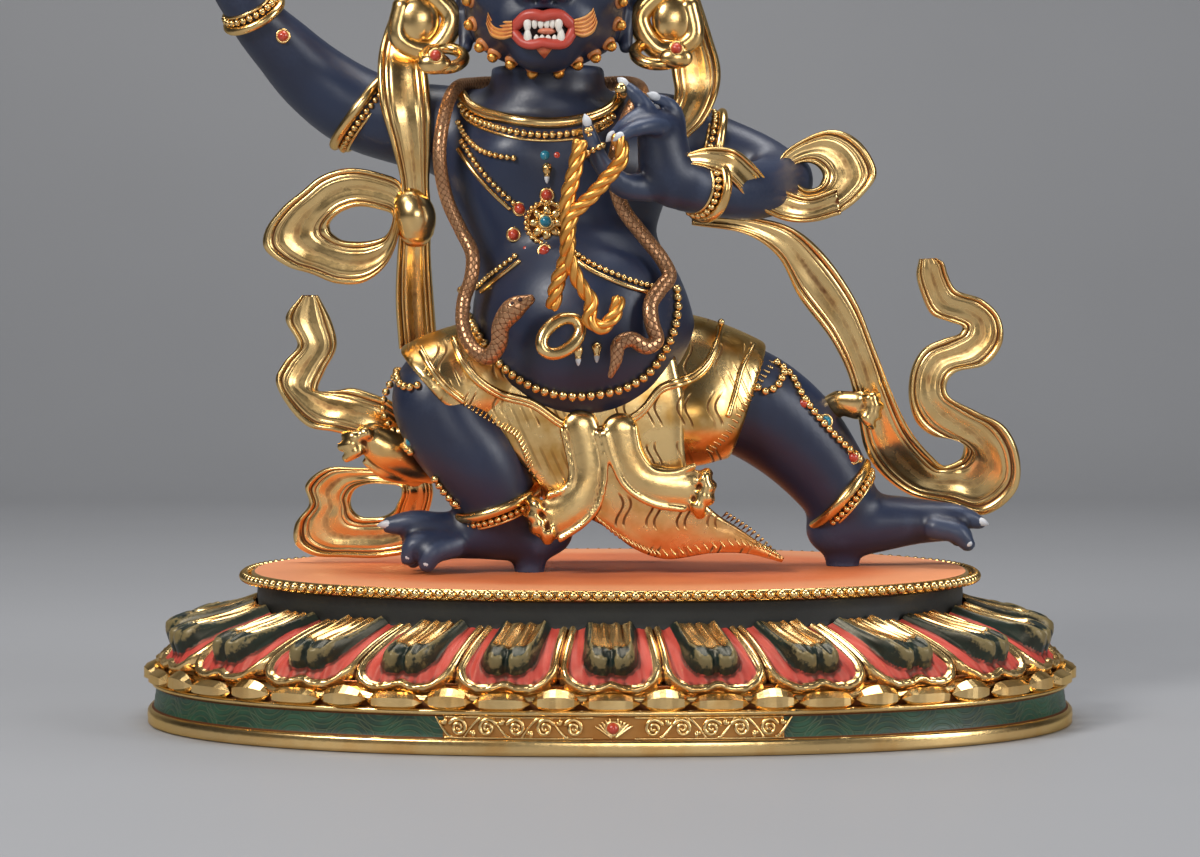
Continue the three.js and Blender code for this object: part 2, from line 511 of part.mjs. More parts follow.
function jewellery(body) {
  const wheelSpot = frontOf(body, WHEEL.x, WHEEL.z);
  const profile = [[0, -2], [WHEEL.r, -2], [WHEEL.r, WHEEL.thick], [0, WHEEL.thick]];
  return [
    draped(body, NECK_RING, 1.3, { steps: 8 }),
    draped(body, BELLY_BAND, 1.2, { steps: 12 }),
    turned([WHEEL.x, wheelSpot.y, WHEEL.z], wheelSpot.facing.toArray(), profile, 8),
  ];
}

// Stones of the figure at [x, z], each seated on whatever faces the viewer there
const BODY_STONES = {
  coral: [
    [-19.3, 123.2], [-16.7, 122.9], [-11.4, 123.1], [-8.8, 123.4], [-13.6, 114.6], [-19.4, 111.7], [-20.8, 106.2],
    [-17.9, 102.9], [-14, 102.4], [-71, 149.2], [-45, 69.6], [-43.6, 65], [-33, 48.6], [42.4, 69.4], [53.6, 57.4],
  ],
  turquoise: [[-14, 123.1], [-13.8, 109], [-7, 83.4], [-42.6, 61.6], [47.4, 65.4]],
};
const PLINTH_STONE = [0.4, 5.8];
const EARRING_STONES = [[-37.5, 144.6], [14.2, 146]];

function stone(body, bodyMesh, [x, z]) {
  const spot = frontOf(bodyMesh, x, z);
  const facing = spot.facing.clone().add(V(0, -1.5, 0)).normalize();
  const seat = V(x, spot.y, z).addScaledVector(facing, GAP);
  const dome = [[0, 0], [STONE_R, STONE_R * 0.2], [0, STONE_R]];
  const clear = body.translate(facing.multiplyScalar(GAP).toArray());
  return largest(cut(turned(seat.toArray(), facing.toArray(), dome, 6), body, clear));
}

// The scarves
const SHOULDER_STRAND = [
  [-46, 160, -40.5, 157, 5], [-49.4, 151, -41, 147, 1], [-50.6, 144, -40, 143, -4], [-50, 134.5, -39, 134.5, -6.6],
  [-47.6, 126, -39, 126, -6.4], [-45.6, 117.5, -39.4, 117.5, -5.4], [-45.8, 110.5, -39, 110.5, -4.4],
  [-46.6, 103, -39.4, 103, -1], [-47.4, 92, -39, 92, 5], [-47, 81, -38.4, 81, 10],
];
const SHOULDER_ARC = [
  [-46, 160, -40.5, 157, 5], [-44, 169, -37, 165, 10], [-36, 178, -31, 172, 15], [-24, 184, -22, 177, 18],
  [-13, 185.6, -13, 178, 19], [-2, 184, -4, 177, 18], [9, 177, 4, 171, 15], [16.6, 168, 10, 164, 11],
  [20, 158, 12, 155, 7], [22.4, 150, 13, 146.4, 4], [24.2, 142.6, 13.6, 141.4, 0], [23.4, 136.6, 14, 136.6, -4],
  [20.6, 131, 12, 131.6, -6.4], [16.4, 126.8, 9, 127.6, -8],
];
const BOW = [
  [-45.6, 117.4, -47.6, 110.6, -5], [-50.4, 119.8, -50.6, 111.8, -4.6], [-57, 120.8, -55, 112.4, -4],
  [-63, 119.2, -58.4, 111.4, -3.4], [-67.4, 115.8, -60.6, 109.8, -3], [-72, 112, -61.4, 108.6, -2.4],
  [-75.6, 107, -61.4, 107.8, -2], [-75.8, 103.4, -61.2, 107, -2], [-70.8, 99.4, -60.4, 106.2, -2],
  [-65.4, 97.7, -58.8, 105.2, -2.4], [-59.8, 95.6, -56, 104.8, -3], [-54, 95.8, -52.4, 105, -3.6],
  [-49, 99.6, -49.2, 106, -4.2], [-46, 106.8, -47.8, 108.2, -5],
];
const KNOT = [[-44, -4.6, 114, 3.6, 0.9], [-42.4, -5.6, 110.4, 4.4, 0.9], [-42.4, -4.4, 106.4, 3.8, 0.9]];
const FOREARM_WRAP = [
  [16.4, 123.2, 15, 121, -33], [20.4, 124.4, 20, 120, -30.6], [26, 124.2, 25.4, 117.4, -28.6],
  [30, 121.6, 28.6, 114, -24.6], [33.6, 118.2, 32.4, 111.4, -19], [38.4, 115.6, 37.8, 109.2, -14.4],
  [43, 114.4, 43, 108.9, -12], [49, 116.4, 50, 110.6, -10.6],
];
const FOREARM_LOBE = [
  [37, 123.2, 39.4, 120.8, -8.6], [41.6, 126.8, 41.6, 121.8, -8.4], [48, 129, 44, 121.6, -8.2],
  [52.6, 127.6, 45.6, 120.4, -8.2], [56, 124.2, 46.2, 119, -8.4], [57.8, 119.4, 45.8, 117.8, -8.8],
  [55.2, 115.2, 45.2, 116.8, -9.2], [49.6, 110.8, 43.6, 116.2, -9.8], [43, 109, 42, 116.4, -10.4],
  [38, 111.4, 40.6, 117.4, -10.4], [35.4, 117.4, 39.4, 119.2, -9.4],
];
const LONG_TAIL = [
  [17.5, 110.6, 17.5, 108.2, -18], [29.5, 110.2, 29.5, 106.2, -13], [39.5, 107.8, 36.5, 101.4, -8],
  [46.6, 102.4, 41.4, 92.6, -3], [54, 92, 48.6, 83.2, 0], [58.6, 81, 52.6, 75.4, 2], [63, 70, 55, 65.6, 4],
  [67, 62.6, 56.6, 59, 7], [72, 57, 60.2, 53.4, 12], [75.4, 54.6, 67.4, 48, 16], [79, 56, 76.6, 45.6, 17.5],
  [79.6, 57.6, 84.4, 43.4, 17], [79.4, 59.4, 91.4, 49, 15.5], [76.6, 60.6, 91.8, 57, 14], [72.4, 61.4, 88.4, 63.6, 13],
  [68.6, 64.4, 82, 67, 12], [66.8, 70, 75.6, 70.6, 11], [67.4, 76.6, 75.2, 73.2, 11], [70, 81, 77, 75.6, 11],
  [74.4, 83.2, 84.2, 77.6, 11], [78, 84.4, 87.6, 82.6, 11], [78.6, 85.8, 87, 88, 11], [75.6, 87, 83, 92, 10],
  [71.6, 88.6, 77, 94.2, 9], [69.4, 92.6, 75, 97.6, 8], [68, 97.6, 74, 100.2, 7], [68.6, 101, 72.4, 101.2, 7],
];
const KNEE_TAIL = [
  [-68, 93, -64.4, 93, 3], [-71.6, 88, -61.4, 87, 3], [-69, 82, -60.4, 81.6, 3], [-72, 78.2, -63, 76.2, 3],
  [-73.8, 74.4, -64.4, 72, 2.6], [-71.4, 69, -60.6, 72, 2], [-66.4, 64, -57, 72.6, 1], [-61, 63, -52.4, 71.4, 0],
  [-53.6, 61, -47, 69, 0], [-48.6, 58, -43, 64, 3],
];
const KNEE_LOOP = [
  [-41, 53.4, -46.6, 50.2, 8], [-48, 54, -50.4, 50.8, 10], [-56.4, 54.4, -54.4, 50.6, 12], [-64, 54, -57.2, 49.2, 14],
  [-68.4, 50.2, -58.2, 47, 15], [-67.6, 46, -58, 45.2, 15.4], [-70.8, 41.4, -57, 43.8, 15.6],
  [-70.8, 37, -55.6, 43, 15.8], [-67, 34.4, -54, 42.9, 16], [-60, 33.9, -52, 43, 16], [-51, 33.9, -50.4, 43.4, 15.6],
  [-43.6, 36, -48.6, 44.6, 14], [-40.6, 44, -47.4, 46.6, 11], [-39.4, 50, -46.4, 48.8, 8],
];

// The snake garland, the noose and its hook, as [x, y, z, r]
const SNAKE = [
  [-16.6, -33.4, 92.6, 1], [-20.2, -33, 90.6, 2.4], [-23, -31.6, 87, 2], [-23.6, -30, 83, 1.8], [-26, -27.6, 80.2, 1.8],
  [-29.4, -25, 82, 1.8], [-31.4, -22.4, 86.4, 1.8], [-31.4, -19.6, 92, 1.8], [-29.8, -19.4, 97, 1.8],
  [-29.6, -18.6, 102, 1.8], [-32, -17, 107, 1.7], [-35, -16.6, 113.6, 1.7], [-36.6, -17.6, 122.4, 1.7],
  [-36, -15.6, 130, 1.7], [-34, -8, 137.4, 1.7], [-30, 4, 139.4, 1.7], [-22.6, 12.4, 140, 1.7], [-13, 15.6, 140, 1.7],
  [-3.4, 12, 139.8, 1.7], [4.4, 4, 139.6, 1.7], [7, -6, 137.4, 1.7], [4.6, -16.6, 133, 1.7], [1.8, -20.8, 126, 1.7],
  [0.8, -21.6, 119, 1.7], [2.6, -21.2, 112, 1.7], [7, -20.4, 106, 1.7], [11, -20.4, 101, 1.7], [12.6, -21.4, 97.4, 1.7],
  [10.6, -24, 94.6, 1.7],
  [8.6, -26.6, 91.4, 1.7], [8.8, -27.8, 87.4, 1.7], [9.8, -27.4, 83.8, 1.7], [7.6, -29, 82.4, 1.7],
  [4.4, -30.6, 84, 1.7], [1.8, -31.6, 83, 1.6], [1.2, -31.4, 79.4, 1.2], [0, -30.4, 76.2, 0.6],
];
const ROPE_LEFT = [
  [-6.2, -42, 125], [-7.6, -42, 118.6], [-9, -41, 113], [-8.8, -40, 107], [-9.2, -39, 101.4], [-11.2, -37, 95.6],
  [-12, -35.4, 91],
];
const ROPE_RIGHT = [
  [1.6, -43, 126.4], [2.4, -43, 122], [-1, -42.6, 117.4], [-4.4, -42, 113.6], [-8, -41.4, 110], [-9, -41, 105.4],
  [-8.4, -39.4, 100.4], [-6.2, -38, 95.4], [-4, -37, 92], [-4.4, -36.6, 88.4], [-2, -37, 86.6], [1, -36.6, 89.6],
  [1.6, -36, 92.6],
];
const NOOSE_RING = { at: [-10.4, -34.6, 84.8], wide: 3, high: 4.8, r: 1.4 };

function noose() {
  const { at, wide, high, r } = NOOSE_RING;
  return join(
    cord(ROPE_LEFT, 1.7, { sides: 4, steps: 5, dome: 0 }),
    cord(ROPE_RIGHT, 1.6, { sides: 4, steps: 10, dome: 0 }),
    hoop(at, [0.25, -1, 0.2], wide, high, r, { around: 8, sides: 4 }),
  );
}

// The skull crown: band, five skulls with a flame jewel over each, and a scroll at either ear
const CROWN_BAND = { z: 172, r: 17.6, thick: 1.6 };
function skullCrown() {
  const band = hoop([HEAD.x, -6.6, CROWN_BAND.z], [0, -0.1, 1], CROWN_BAND.r, CROWN_BAND.r, CROWN_BAND.thick, {
    around: 12,
    sides: 4,
    tall: 1.5,
  });
  const skulls = [-76, -38, 0, 38, 76].flatMap((turn) => {
    const a = THREE.MathUtils.degToRad(turn - 90);
    const foot = [HEAD.x + 19 * Math.cos(a), -6.6 + 19 * Math.sin(a), CROWN_BAND.z];
    const lean = [Math.cos(a) * 0.3, Math.sin(a) * 0.3, 1];
    return turned(foot, lean, [[0, 0], [2, 0], [3.6, 4.4], [1.2, 8.6], [2, 10.4], [0, 14.4]], 5);
  });
  const scrolls = [-1, 1].map((side) => {
    const curl = [1.5, 3.1, 4.3, 5.6, 7].map((a) => {
      const r = lerp(8.4, 4.4, (a - 1.5) / 5.5);
      return [HEAD.x + side * (27.6 + r * Math.cos(a)), -5.4, 153 + r * Math.sin(a) * 1.15, 2.4, 0.9];
    });
    const rise = [[HEAD.x + side * 19.6, -6, 172.4, 2.6], [HEAD.x + side * 24.6, -5.6, 167, 3]];
    const eye = ball([HEAD.x + side * 27.6, -6, 153], [4.6, 2, 5], 5, 4);
    return [limb([...rise, ...curl], { sides: 4, steps: 10, dome: 0 }), eye];
  });
  return join(band, skulls, scrolls.flat());
}

// The vajra: a waisted grip and a closed five-pronged head at either end
function vajra() {
  const half = VAJRA_LENGTH / 2;
  const head = [[6.8, 1.6], [8.4, 2.7], [9.8, 1.4], [12.4, 4.8], [half - 2, 1.3], [half, 0]];
  const right = head.map(([along, r]) => [r, along]);
  const left = head.map(([along, r]) => [r, -along]).reverse();
  return turned([FIST.x, FIST.y, FIST.z], VAJRA_WAY.toArray(), [...left, ...right], 6);
}

// Earrings: a thick ring hung nearly level from each lobe, with a flower plate towards the viewer
const EARRINGS = {
  left: { x: -36, y: -10, z: 144.4, r: 4.3, toFlower: -1.8 },
  right: { x: 10.4, y: -9, z: 145.6, r: 5, toFlower: 3.8 },
};

function earring({ x, y, z, r, toFlower }) {
  return join(
    hoop([x, y, z], [0, -0.55, 0.84], r, r, 1.35, { around: 10, sides: 4 }),
    ball([x + toFlower, y - r * 0.84 - 0.5, z - 1.4], [3.6, 1.7, 2.4], 6, 4),
  );
}

// Assembly
const group = new THREE.Group();

function node(name, solid, finish) {
  const mesh = new THREE.Mesh(toGeometry(solid), new THREE.MeshStandardMaterial(finish));
  mesh.name = name;
  group.add(mesh);
  return mesh;
}

const asMesh = (solid) => new THREE.Mesh(toGeometry(solid).toNonIndexed());
const skull = (grow = 0) => limb(SKULL, { sides: 12, steps: 5, dome: 0.5, grow });

const dressed = join(nakedBody(), tigerSkin());
const dressedMesh = asMesh(dressed);
const figure = join(
  dressed,
  hands(),
  feet(),
  face(skull()),
  beard(asMesh(skull())),
  hairMass(),
  hairFlames(),
  jewellery(dressedMesh),
);

// What fits round the figure is cut clear of its bulk grown by the gap, and then of the figure itself.
const roomy = join(nakedBody(GAP), tigerSkin(GAP), hands(GAP), skull(GAP), hairMass(GAP));
const nudged = (solid) => solid.translate([0, -GAP, 0]);
const fitted = (piece, ...others) => largest(cut(piece, roomy, figure, nudged(figure), others, others.map(nudged)));

const plinth = lotusPlinth();
node("lotus_plinth", plinth, LOTUS_RED);
node("figure", figure, BLUE);

const shoulderScarf = fitted(
  join(
    ribbon(SHOULDER_STRAND, { steps: 9 }),
    ribbon(SHOULDER_ARC, { steps: 10 }),
    ribbon(BOW, { steps: 12, closed: true }),
    limb(KNOT, { sides: 5, steps: 2, dome: 0.4 }),
  ),
);
const armScarf = fitted(
  join(
    ribbon(FOREARM_WRAP, { steps: 7 }),
    ribbon(FOREARM_LOBE, { steps: 12, closed: true }),
    ribbon(LONG_TAIL, { steps: 27 }),
    limb([[36, -10, 112, 2.4], [38, -10, 107, 2.4]], { sides: 4, steps: 1 }),
  ),
);
const kneeScarf = fitted(
  join(
    ribbon(KNEE_TAIL, { steps: 11 }),
    ribbon(KNEE_LOOP, { steps: 13, closed: true }),
    limb([[-46, 2, 62, 4, 0.5], [-43, 8, 52, 3.4, 0.6]], { sides: 4, steps: 1 }),
  ),
  plinth,
);
const snake = fitted(limb(SNAKE, { sides: 4, steps: 36, dome: 0 }), shoulderScarf);
const rope = fitted(noose(), snake);
const crown = fitted(skullCrown(), shoulderScarf);
node("shoulder_scarf", shoulderScarf, GOLD);
node("arm_scarf", armScarf, GOLD);
node("knee_scarf", kneeScarf, GOLD);
node("snake_garland", snake, COPPER_GOLD);
node("noose", rope, ROPE_GOLD);
node("skull_crown", crown, GOLD);
node("vajra", fitted(vajra()), GOLD);
const earrings = [EARRINGS.left, EARRINGS.right].map((e) => fitted(earring(e), crown, shoulderScarf, snake));
node("earring_left", earrings[0], GOLD);
node("earring_right", earrings[1], GOLD);
const seated = (body, places) => places.map((place) => stone(body, asMesh(body), place));
const corals = [
  ...seated(figure, BODY_STONES.coral),
  ...seated(plinth, [PLINTH_STONE]),
  ...earrings.flatMap((ring, i) => seated(ring, [EARRING_STONES[i]])),
];
corals.forEach((solid, i) => node("coral_" + (i + 1), solid, CORAL));
seated(figure, BODY_STONES.turquoise).forEach((solid, i) => node("turquoise_" + (i + 1), solid, TURQUOISE));

export default group;
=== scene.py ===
# %% [markdown]
# The object is a hand-made Himalayan statue: a stout blue protector striding on an oval lotus plinth, cast
# in copper, fire-gilded and painted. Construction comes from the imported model, loaded here as a fixed
# frame. This lesson dresses each of its pieces with a finely modelled one in the same place.

# %% Load the frame
import math
from itertools import product

import bpy
import numpy as np
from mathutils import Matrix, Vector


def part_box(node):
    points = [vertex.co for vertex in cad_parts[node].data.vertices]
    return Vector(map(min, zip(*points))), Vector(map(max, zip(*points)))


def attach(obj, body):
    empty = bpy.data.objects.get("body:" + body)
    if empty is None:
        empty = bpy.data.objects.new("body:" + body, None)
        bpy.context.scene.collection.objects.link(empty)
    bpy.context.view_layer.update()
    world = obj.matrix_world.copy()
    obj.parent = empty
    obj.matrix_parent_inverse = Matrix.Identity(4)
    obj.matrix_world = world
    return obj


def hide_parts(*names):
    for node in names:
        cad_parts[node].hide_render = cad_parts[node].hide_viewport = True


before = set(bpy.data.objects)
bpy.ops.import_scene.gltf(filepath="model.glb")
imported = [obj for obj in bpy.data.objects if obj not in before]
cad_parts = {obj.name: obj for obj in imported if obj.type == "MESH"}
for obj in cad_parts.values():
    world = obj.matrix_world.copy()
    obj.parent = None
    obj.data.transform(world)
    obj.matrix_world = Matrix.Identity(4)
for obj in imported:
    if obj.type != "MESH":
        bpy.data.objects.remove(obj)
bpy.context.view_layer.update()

# %% [markdown]
# The part is drawn in millimetres, as its maker would measure it, and put into Blender in metres. A few
# small helpers do most of the work: smooth curves through given points, rings skinned into closed
# bodies, and a "clay" that joins limbs softly where they meet. Curves use the same centripetal spline as
# the frame, so a fine surface lies where the plain solid does.

# %% Curves through points
MM = 0.001


def spline(points, count, closed=False):
    """Points spread along a centripetal Catmull-Rom curve, each row of numbers treated alike."""
    p = np.asarray(points, float)
    n = len(p)
    if closed:
        padded = np.vstack([p[-1], p, p[0], p[1]])
        spans = n
        u = np.arange(count) * spans / count
    else:
        padded = np.vstack([2 * p[0] - p[1], p, 2 * p[-1] - p[-2]])
        spans = n - 1
        u = np.linspace(0, spans, count)
    i = np.minimum(u.astype(int), spans - 1)
    t = (u - i)[:, None]
    p0, p1, p2, p3 = (padded[i + k] for k in range(4))
    places = 3 if p.shape[1] >= 3 else p.shape[1]
    step = lambda a, b: np.maximum(np.linalg.norm((b - a)[:, :places], axis=1, keepdims=True), 1e-4) ** 0.5
    d0, d1, d2 = step(p0, p1), step(p1, p2), step(p2, p3)
    m1 = ((p1 - p0) / d0 - (p2 - p0) / (d0 + d1) + (p2 - p1) / d1) * d1
    m2 = ((p2 - p1) / d1 - (p3 - p1) / (d1 + d2) + (p3 - p2) / d2) * d1
    return (
        (2 * t**3 - 3 * t**2 + 1) * p1 + (t**3 - 2 * t**2 + t) * m1
        + (3 * t**2 - 2 * t**3) * p2 + (t**3 - t**2) * m2
    )


def unit(v):
    return v / np.maximum(np.linalg.norm(v, axis=-1, keepdims=True), 1e-9)


def smooth_step(x, low, high):
    t = np.clip((x - low) / (high - low), 0, 1)
    return t * t * (3 - 2 * t)


def mix(a, b, t):
    return a + (b - a) * t


def frames_along(path, closed=False):
    """Directions along a path, and across it in two ways, carried on without twist."""
    path = np.asarray(path, float)
    ahead = np.roll(path, -1, 0) - np.roll(path, 1, 0)
    if not closed:
        ahead[0] = path[1] - path[0]
        ahead[-1] = path[-1] - path[-2]
    ahead = unit(ahead)
    side = np.zeros_like(path)
    normal = np.array([0, 0, 1.0]) if abs(ahead[0, 1]) > 0.9 else np.array([0, 1.0, 0])
    for i, way in enumerate(ahead):
        normal = unit(normal - way * normal.dot(way))
        side[i] = normal
    return ahead, side, np.cross(ahead, side)


# %% [markdown]
# Every piece ends as a plain mesh whose object sits at the origin. One function makes it, gives it its
# finish, lets it ride on the frame's only body and hides the frame's part for the node it stands for. It also
# stores how deep each point lies in a hollow, which the shaders read: gilding keeps brown patina there, and paint is
# darkened there as painted shade.

# %% Make a piece from points and faces
made = {}


def vertex_hollow(points, edges, normals, rounds=3):
    """How far each point lies below the mean of its neighbours, in mm, smoothed a little."""
    n = len(points)
    ends = np.concatenate([edges[:, 0], edges[:, 1]])
    others = np.concatenate([edges[:, 1], edges[:, 0]])
    degree = np.maximum(np.bincount(ends, minlength=n), 1)[:, None]
    spread = lambda a: np.stack([np.bincount(ends, a[others, k], n) for k in range(a.shape[1])], 1) / degree
    flat = points
    for _ in range(rounds):
        flat = spread(flat)
    depth = np.einsum("ij,ij->i", flat - points, normals)[:, None]
    return (0.5 * depth + 0.5 * spread(depth))[:, 0]


def numbers(mesh, name, values):
    layer = mesh.attributes.new(name, "FLOAT", "POINT")
    layer.data.foreach_set("value", np.asarray(values, np.float32))


def finish_piece(obj, node, slot, rounds=3):
    """The hollow attribute, riding on the frame's root body, and hiding the frame's part that the piece stands for."""
    mesh = obj.data
    count = len(mesh.vertices)
    points = np.empty(count * 3, np.float32)
    mesh.vertices.foreach_get("co", points)
    points = points.reshape(-1, 3) / MM
    normals = np.empty(count * 3, np.float32)
    mesh.vertex_normals.foreach_get("vector", normals)
    edges = np.empty(len(mesh.edges) * 2, np.int32)
    mesh.edges.foreach_get("vertices", edges)
    numbers(mesh, "hollow", vertex_hollow(points, edges.reshape(-1, 2), normals.reshape(-1, 3), rounds))
    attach(obj, "root")
    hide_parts(*([node] if isinstance(node, str) else node))
    made[obj.name] = len(mesh.loop_triangles) or sum(len(p.vertices) - 2 for p in mesh.polygons)
    return obj


def piece(name, points, faces, materials, node, slot, groups=None, attributes=None, flat=False, rounds=3):
    """A closed piece from points in mm, quads or triangles, and a finish for each group of faces."""
    mesh = bpy.data.meshes.new(name)
    mesh.from_pydata((np.asarray(points) * MM).tolist(), [], [list(map(int, f)) for f in faces])
    obj = bpy.data.objects.new(name, mesh)
    bpy.context.scene.collection.objects.link(obj)
    for material in materials if isinstance(materials, (list, tuple)) else [materials]:
        mesh.materials.append(material)
    if groups is not None:
        mesh.polygons.foreach_set("material_index", np.asarray(groups, np.int32))
    mesh.polygons.foreach_set("use_smooth", np.full(len(mesh.polygons), not flat))
    for key, values in (attributes or {}).items():
        numbers(mesh, key, values)
    mesh.update()
    return finish_piece(obj, node, slot, rounds)


# %% Skin rings of points into closed bodies
def skin(rings, closed=False, capped=True):
    """Faces over rings of equal count, and a point in the middle of each open end."""
    rings = np.asarray(rings, float)
    n, m = rings.shape[:2]
    points = rings.reshape(-1, 3)
    i = np.arange(n if closed else n - 1)[:, None]
    k = np.arange(m)[None, :]
    here, there = i * m, ((i + 1) % n) * m
    after = (k + 1) % m
    quads = np.stack([here + k, here + after, there + after, there + k], -1).reshape(-1, 4)
    faces = quads.tolist()
    if not closed and capped:
        ends = [rings[0].mean(0), rings[-1].mean(0)]
        points = np.vstack([points, ends])
        faces += [[n * m, (j + 1) % m, j] for j in range(m)]
        faces += [[n * m + 1, (n - 1) * m + j, (n - 1) * m + (j + 1) % m] for j in range(m)]
    return points, outward(points, faces)


def outward(points, faces):
    """Turns all faces over if the body they close has a negative volume."""
    p = np.asarray(points)
    volume = 0.0
    for size in (3, 4):
        group = np.array([f for f in faces if len(f) == size])
        if len(group):
            for a, b in ((1, 2), (2, 3))[: size - 2]:
                volume += np.einsum("ij,ij->", p[group[:, 0]], np.cross(p[group[:, a]], p[group[:, b]]))
    return faces if volume > 0 else [f[::-1] for f in faces]


def gather(parts):
    """Several (points, faces) bodies as one."""
    points, faces, start = [], [], 0
    for p, f in parts:
        points.append(np.asarray(p))
        faces += [[v + start for v in face] for face in f]
        start += len(p)
    return np.vstack(points), faces


def tube(path, radii, sides=10, closed=False, squash=1.0, tips=True):
    """A round or flattened cord along a path, thinning to small domes at open ends."""
    path = np.asarray(path, float)
    radii = np.broadcast_to(np.asarray(radii, float), len(path)).copy()
    ahead, side, across = frames_along(path, closed)
    if tips and not closed:
        path = np.vstack([path[0] - ahead[0] * radii[0] * 0.6, path, path[-1] + ahead[-1] * radii[-1] * 0.6])
        radii = np.concatenate([[radii[0] * 0.62], radii, [radii[-1] * 0.62]])
        side = np.vstack([side[0], side, side[-1]])
        across = np.vstack([across[0], across, across[-1]])
    a = np.linspace(0, 2 * np.pi, sides, endpoint=False)[None, :, None]
    r = radii[:, None, None]
    return skin(path[:, None] + across[:, None] * np.cos(a) * r + side[:, None] * np.sin(a) * r * squash, closed)


def ball(centre, radii, rings=10, sides=14):
    """A ball or egg as a closed skin."""
    polar = np.linspace(0, np.pi, rings + 1)[1:-1, None, None]
    a = np.linspace(0, 2 * np.pi, sides, endpoint=False)[None, :, None]
    shape = np.concatenate([np.sin(polar) * np.cos(a), np.sin(polar) * np.sin(a), np.cos(polar) + 0 * a], -1)
    shape = np.vstack([shape.reshape(-1, 3), [[0, 0, 1], [0, 0, -1]]])
    points = np.asarray(centre) + shape * np.asarray(radii)
    body = [[i * sides + k, (i + 1) * sides + k, (i + 1) * sides + (k + 1) % sides, i * sides + (k + 1) % sides]
            for i in range(rings - 2) for k in range(sides)]
    top, low = len(points) - 2, len(points) - 1
    last = (rings - 2) * sides
    body += [[top, k, (k + 1) % sides] for k in range(sides)]
    body += [[low, last + (k + 1) % sides, last + k] for k in range(sides)]
    return points, outward(points, body)


def turned(centre, facing, profile, sides=16):
    """A turned form from [radius, height], standing at a point and facing a direction."""
    up = unit(np.asarray(facing, float))
    other = np.array([1.0, 0, 0]) if abs(up[0]) < 0.8 else np.array([0, 0, 1.0])
    across = unit(np.cross(up, other))
    deep = np.cross(up, across)
    a = np.linspace(0, 2 * np.pi, sides, endpoint=False)
    ring = np.cos(a)[:, None] * across + np.sin(a)[:, None] * deep
    rings = [np.asarray(centre) + up * h + ring * max(r, 0.01) for r, h in profile]
    return skin(rings)

# %% [markdown]
# The body is modelled like wax before casting: limbs and lumps pressed together until the joins are soft.
# Here the wax is a box of cells that hold the distance to the nearest surface. A limb lowers the values
# round its own line, a soft minimum rounds the join with what is there, and the zero surface is skinned.

# %% Clay: a field of distances
def soft_min(a, b, blend):
    if blend <= 0:
        return np.minimum(a, b)
    h = np.clip(0.5 + 0.5 * (b - a) / blend, 0, 1)
    return b + (a - b) * h - blend * h * (1 - h)


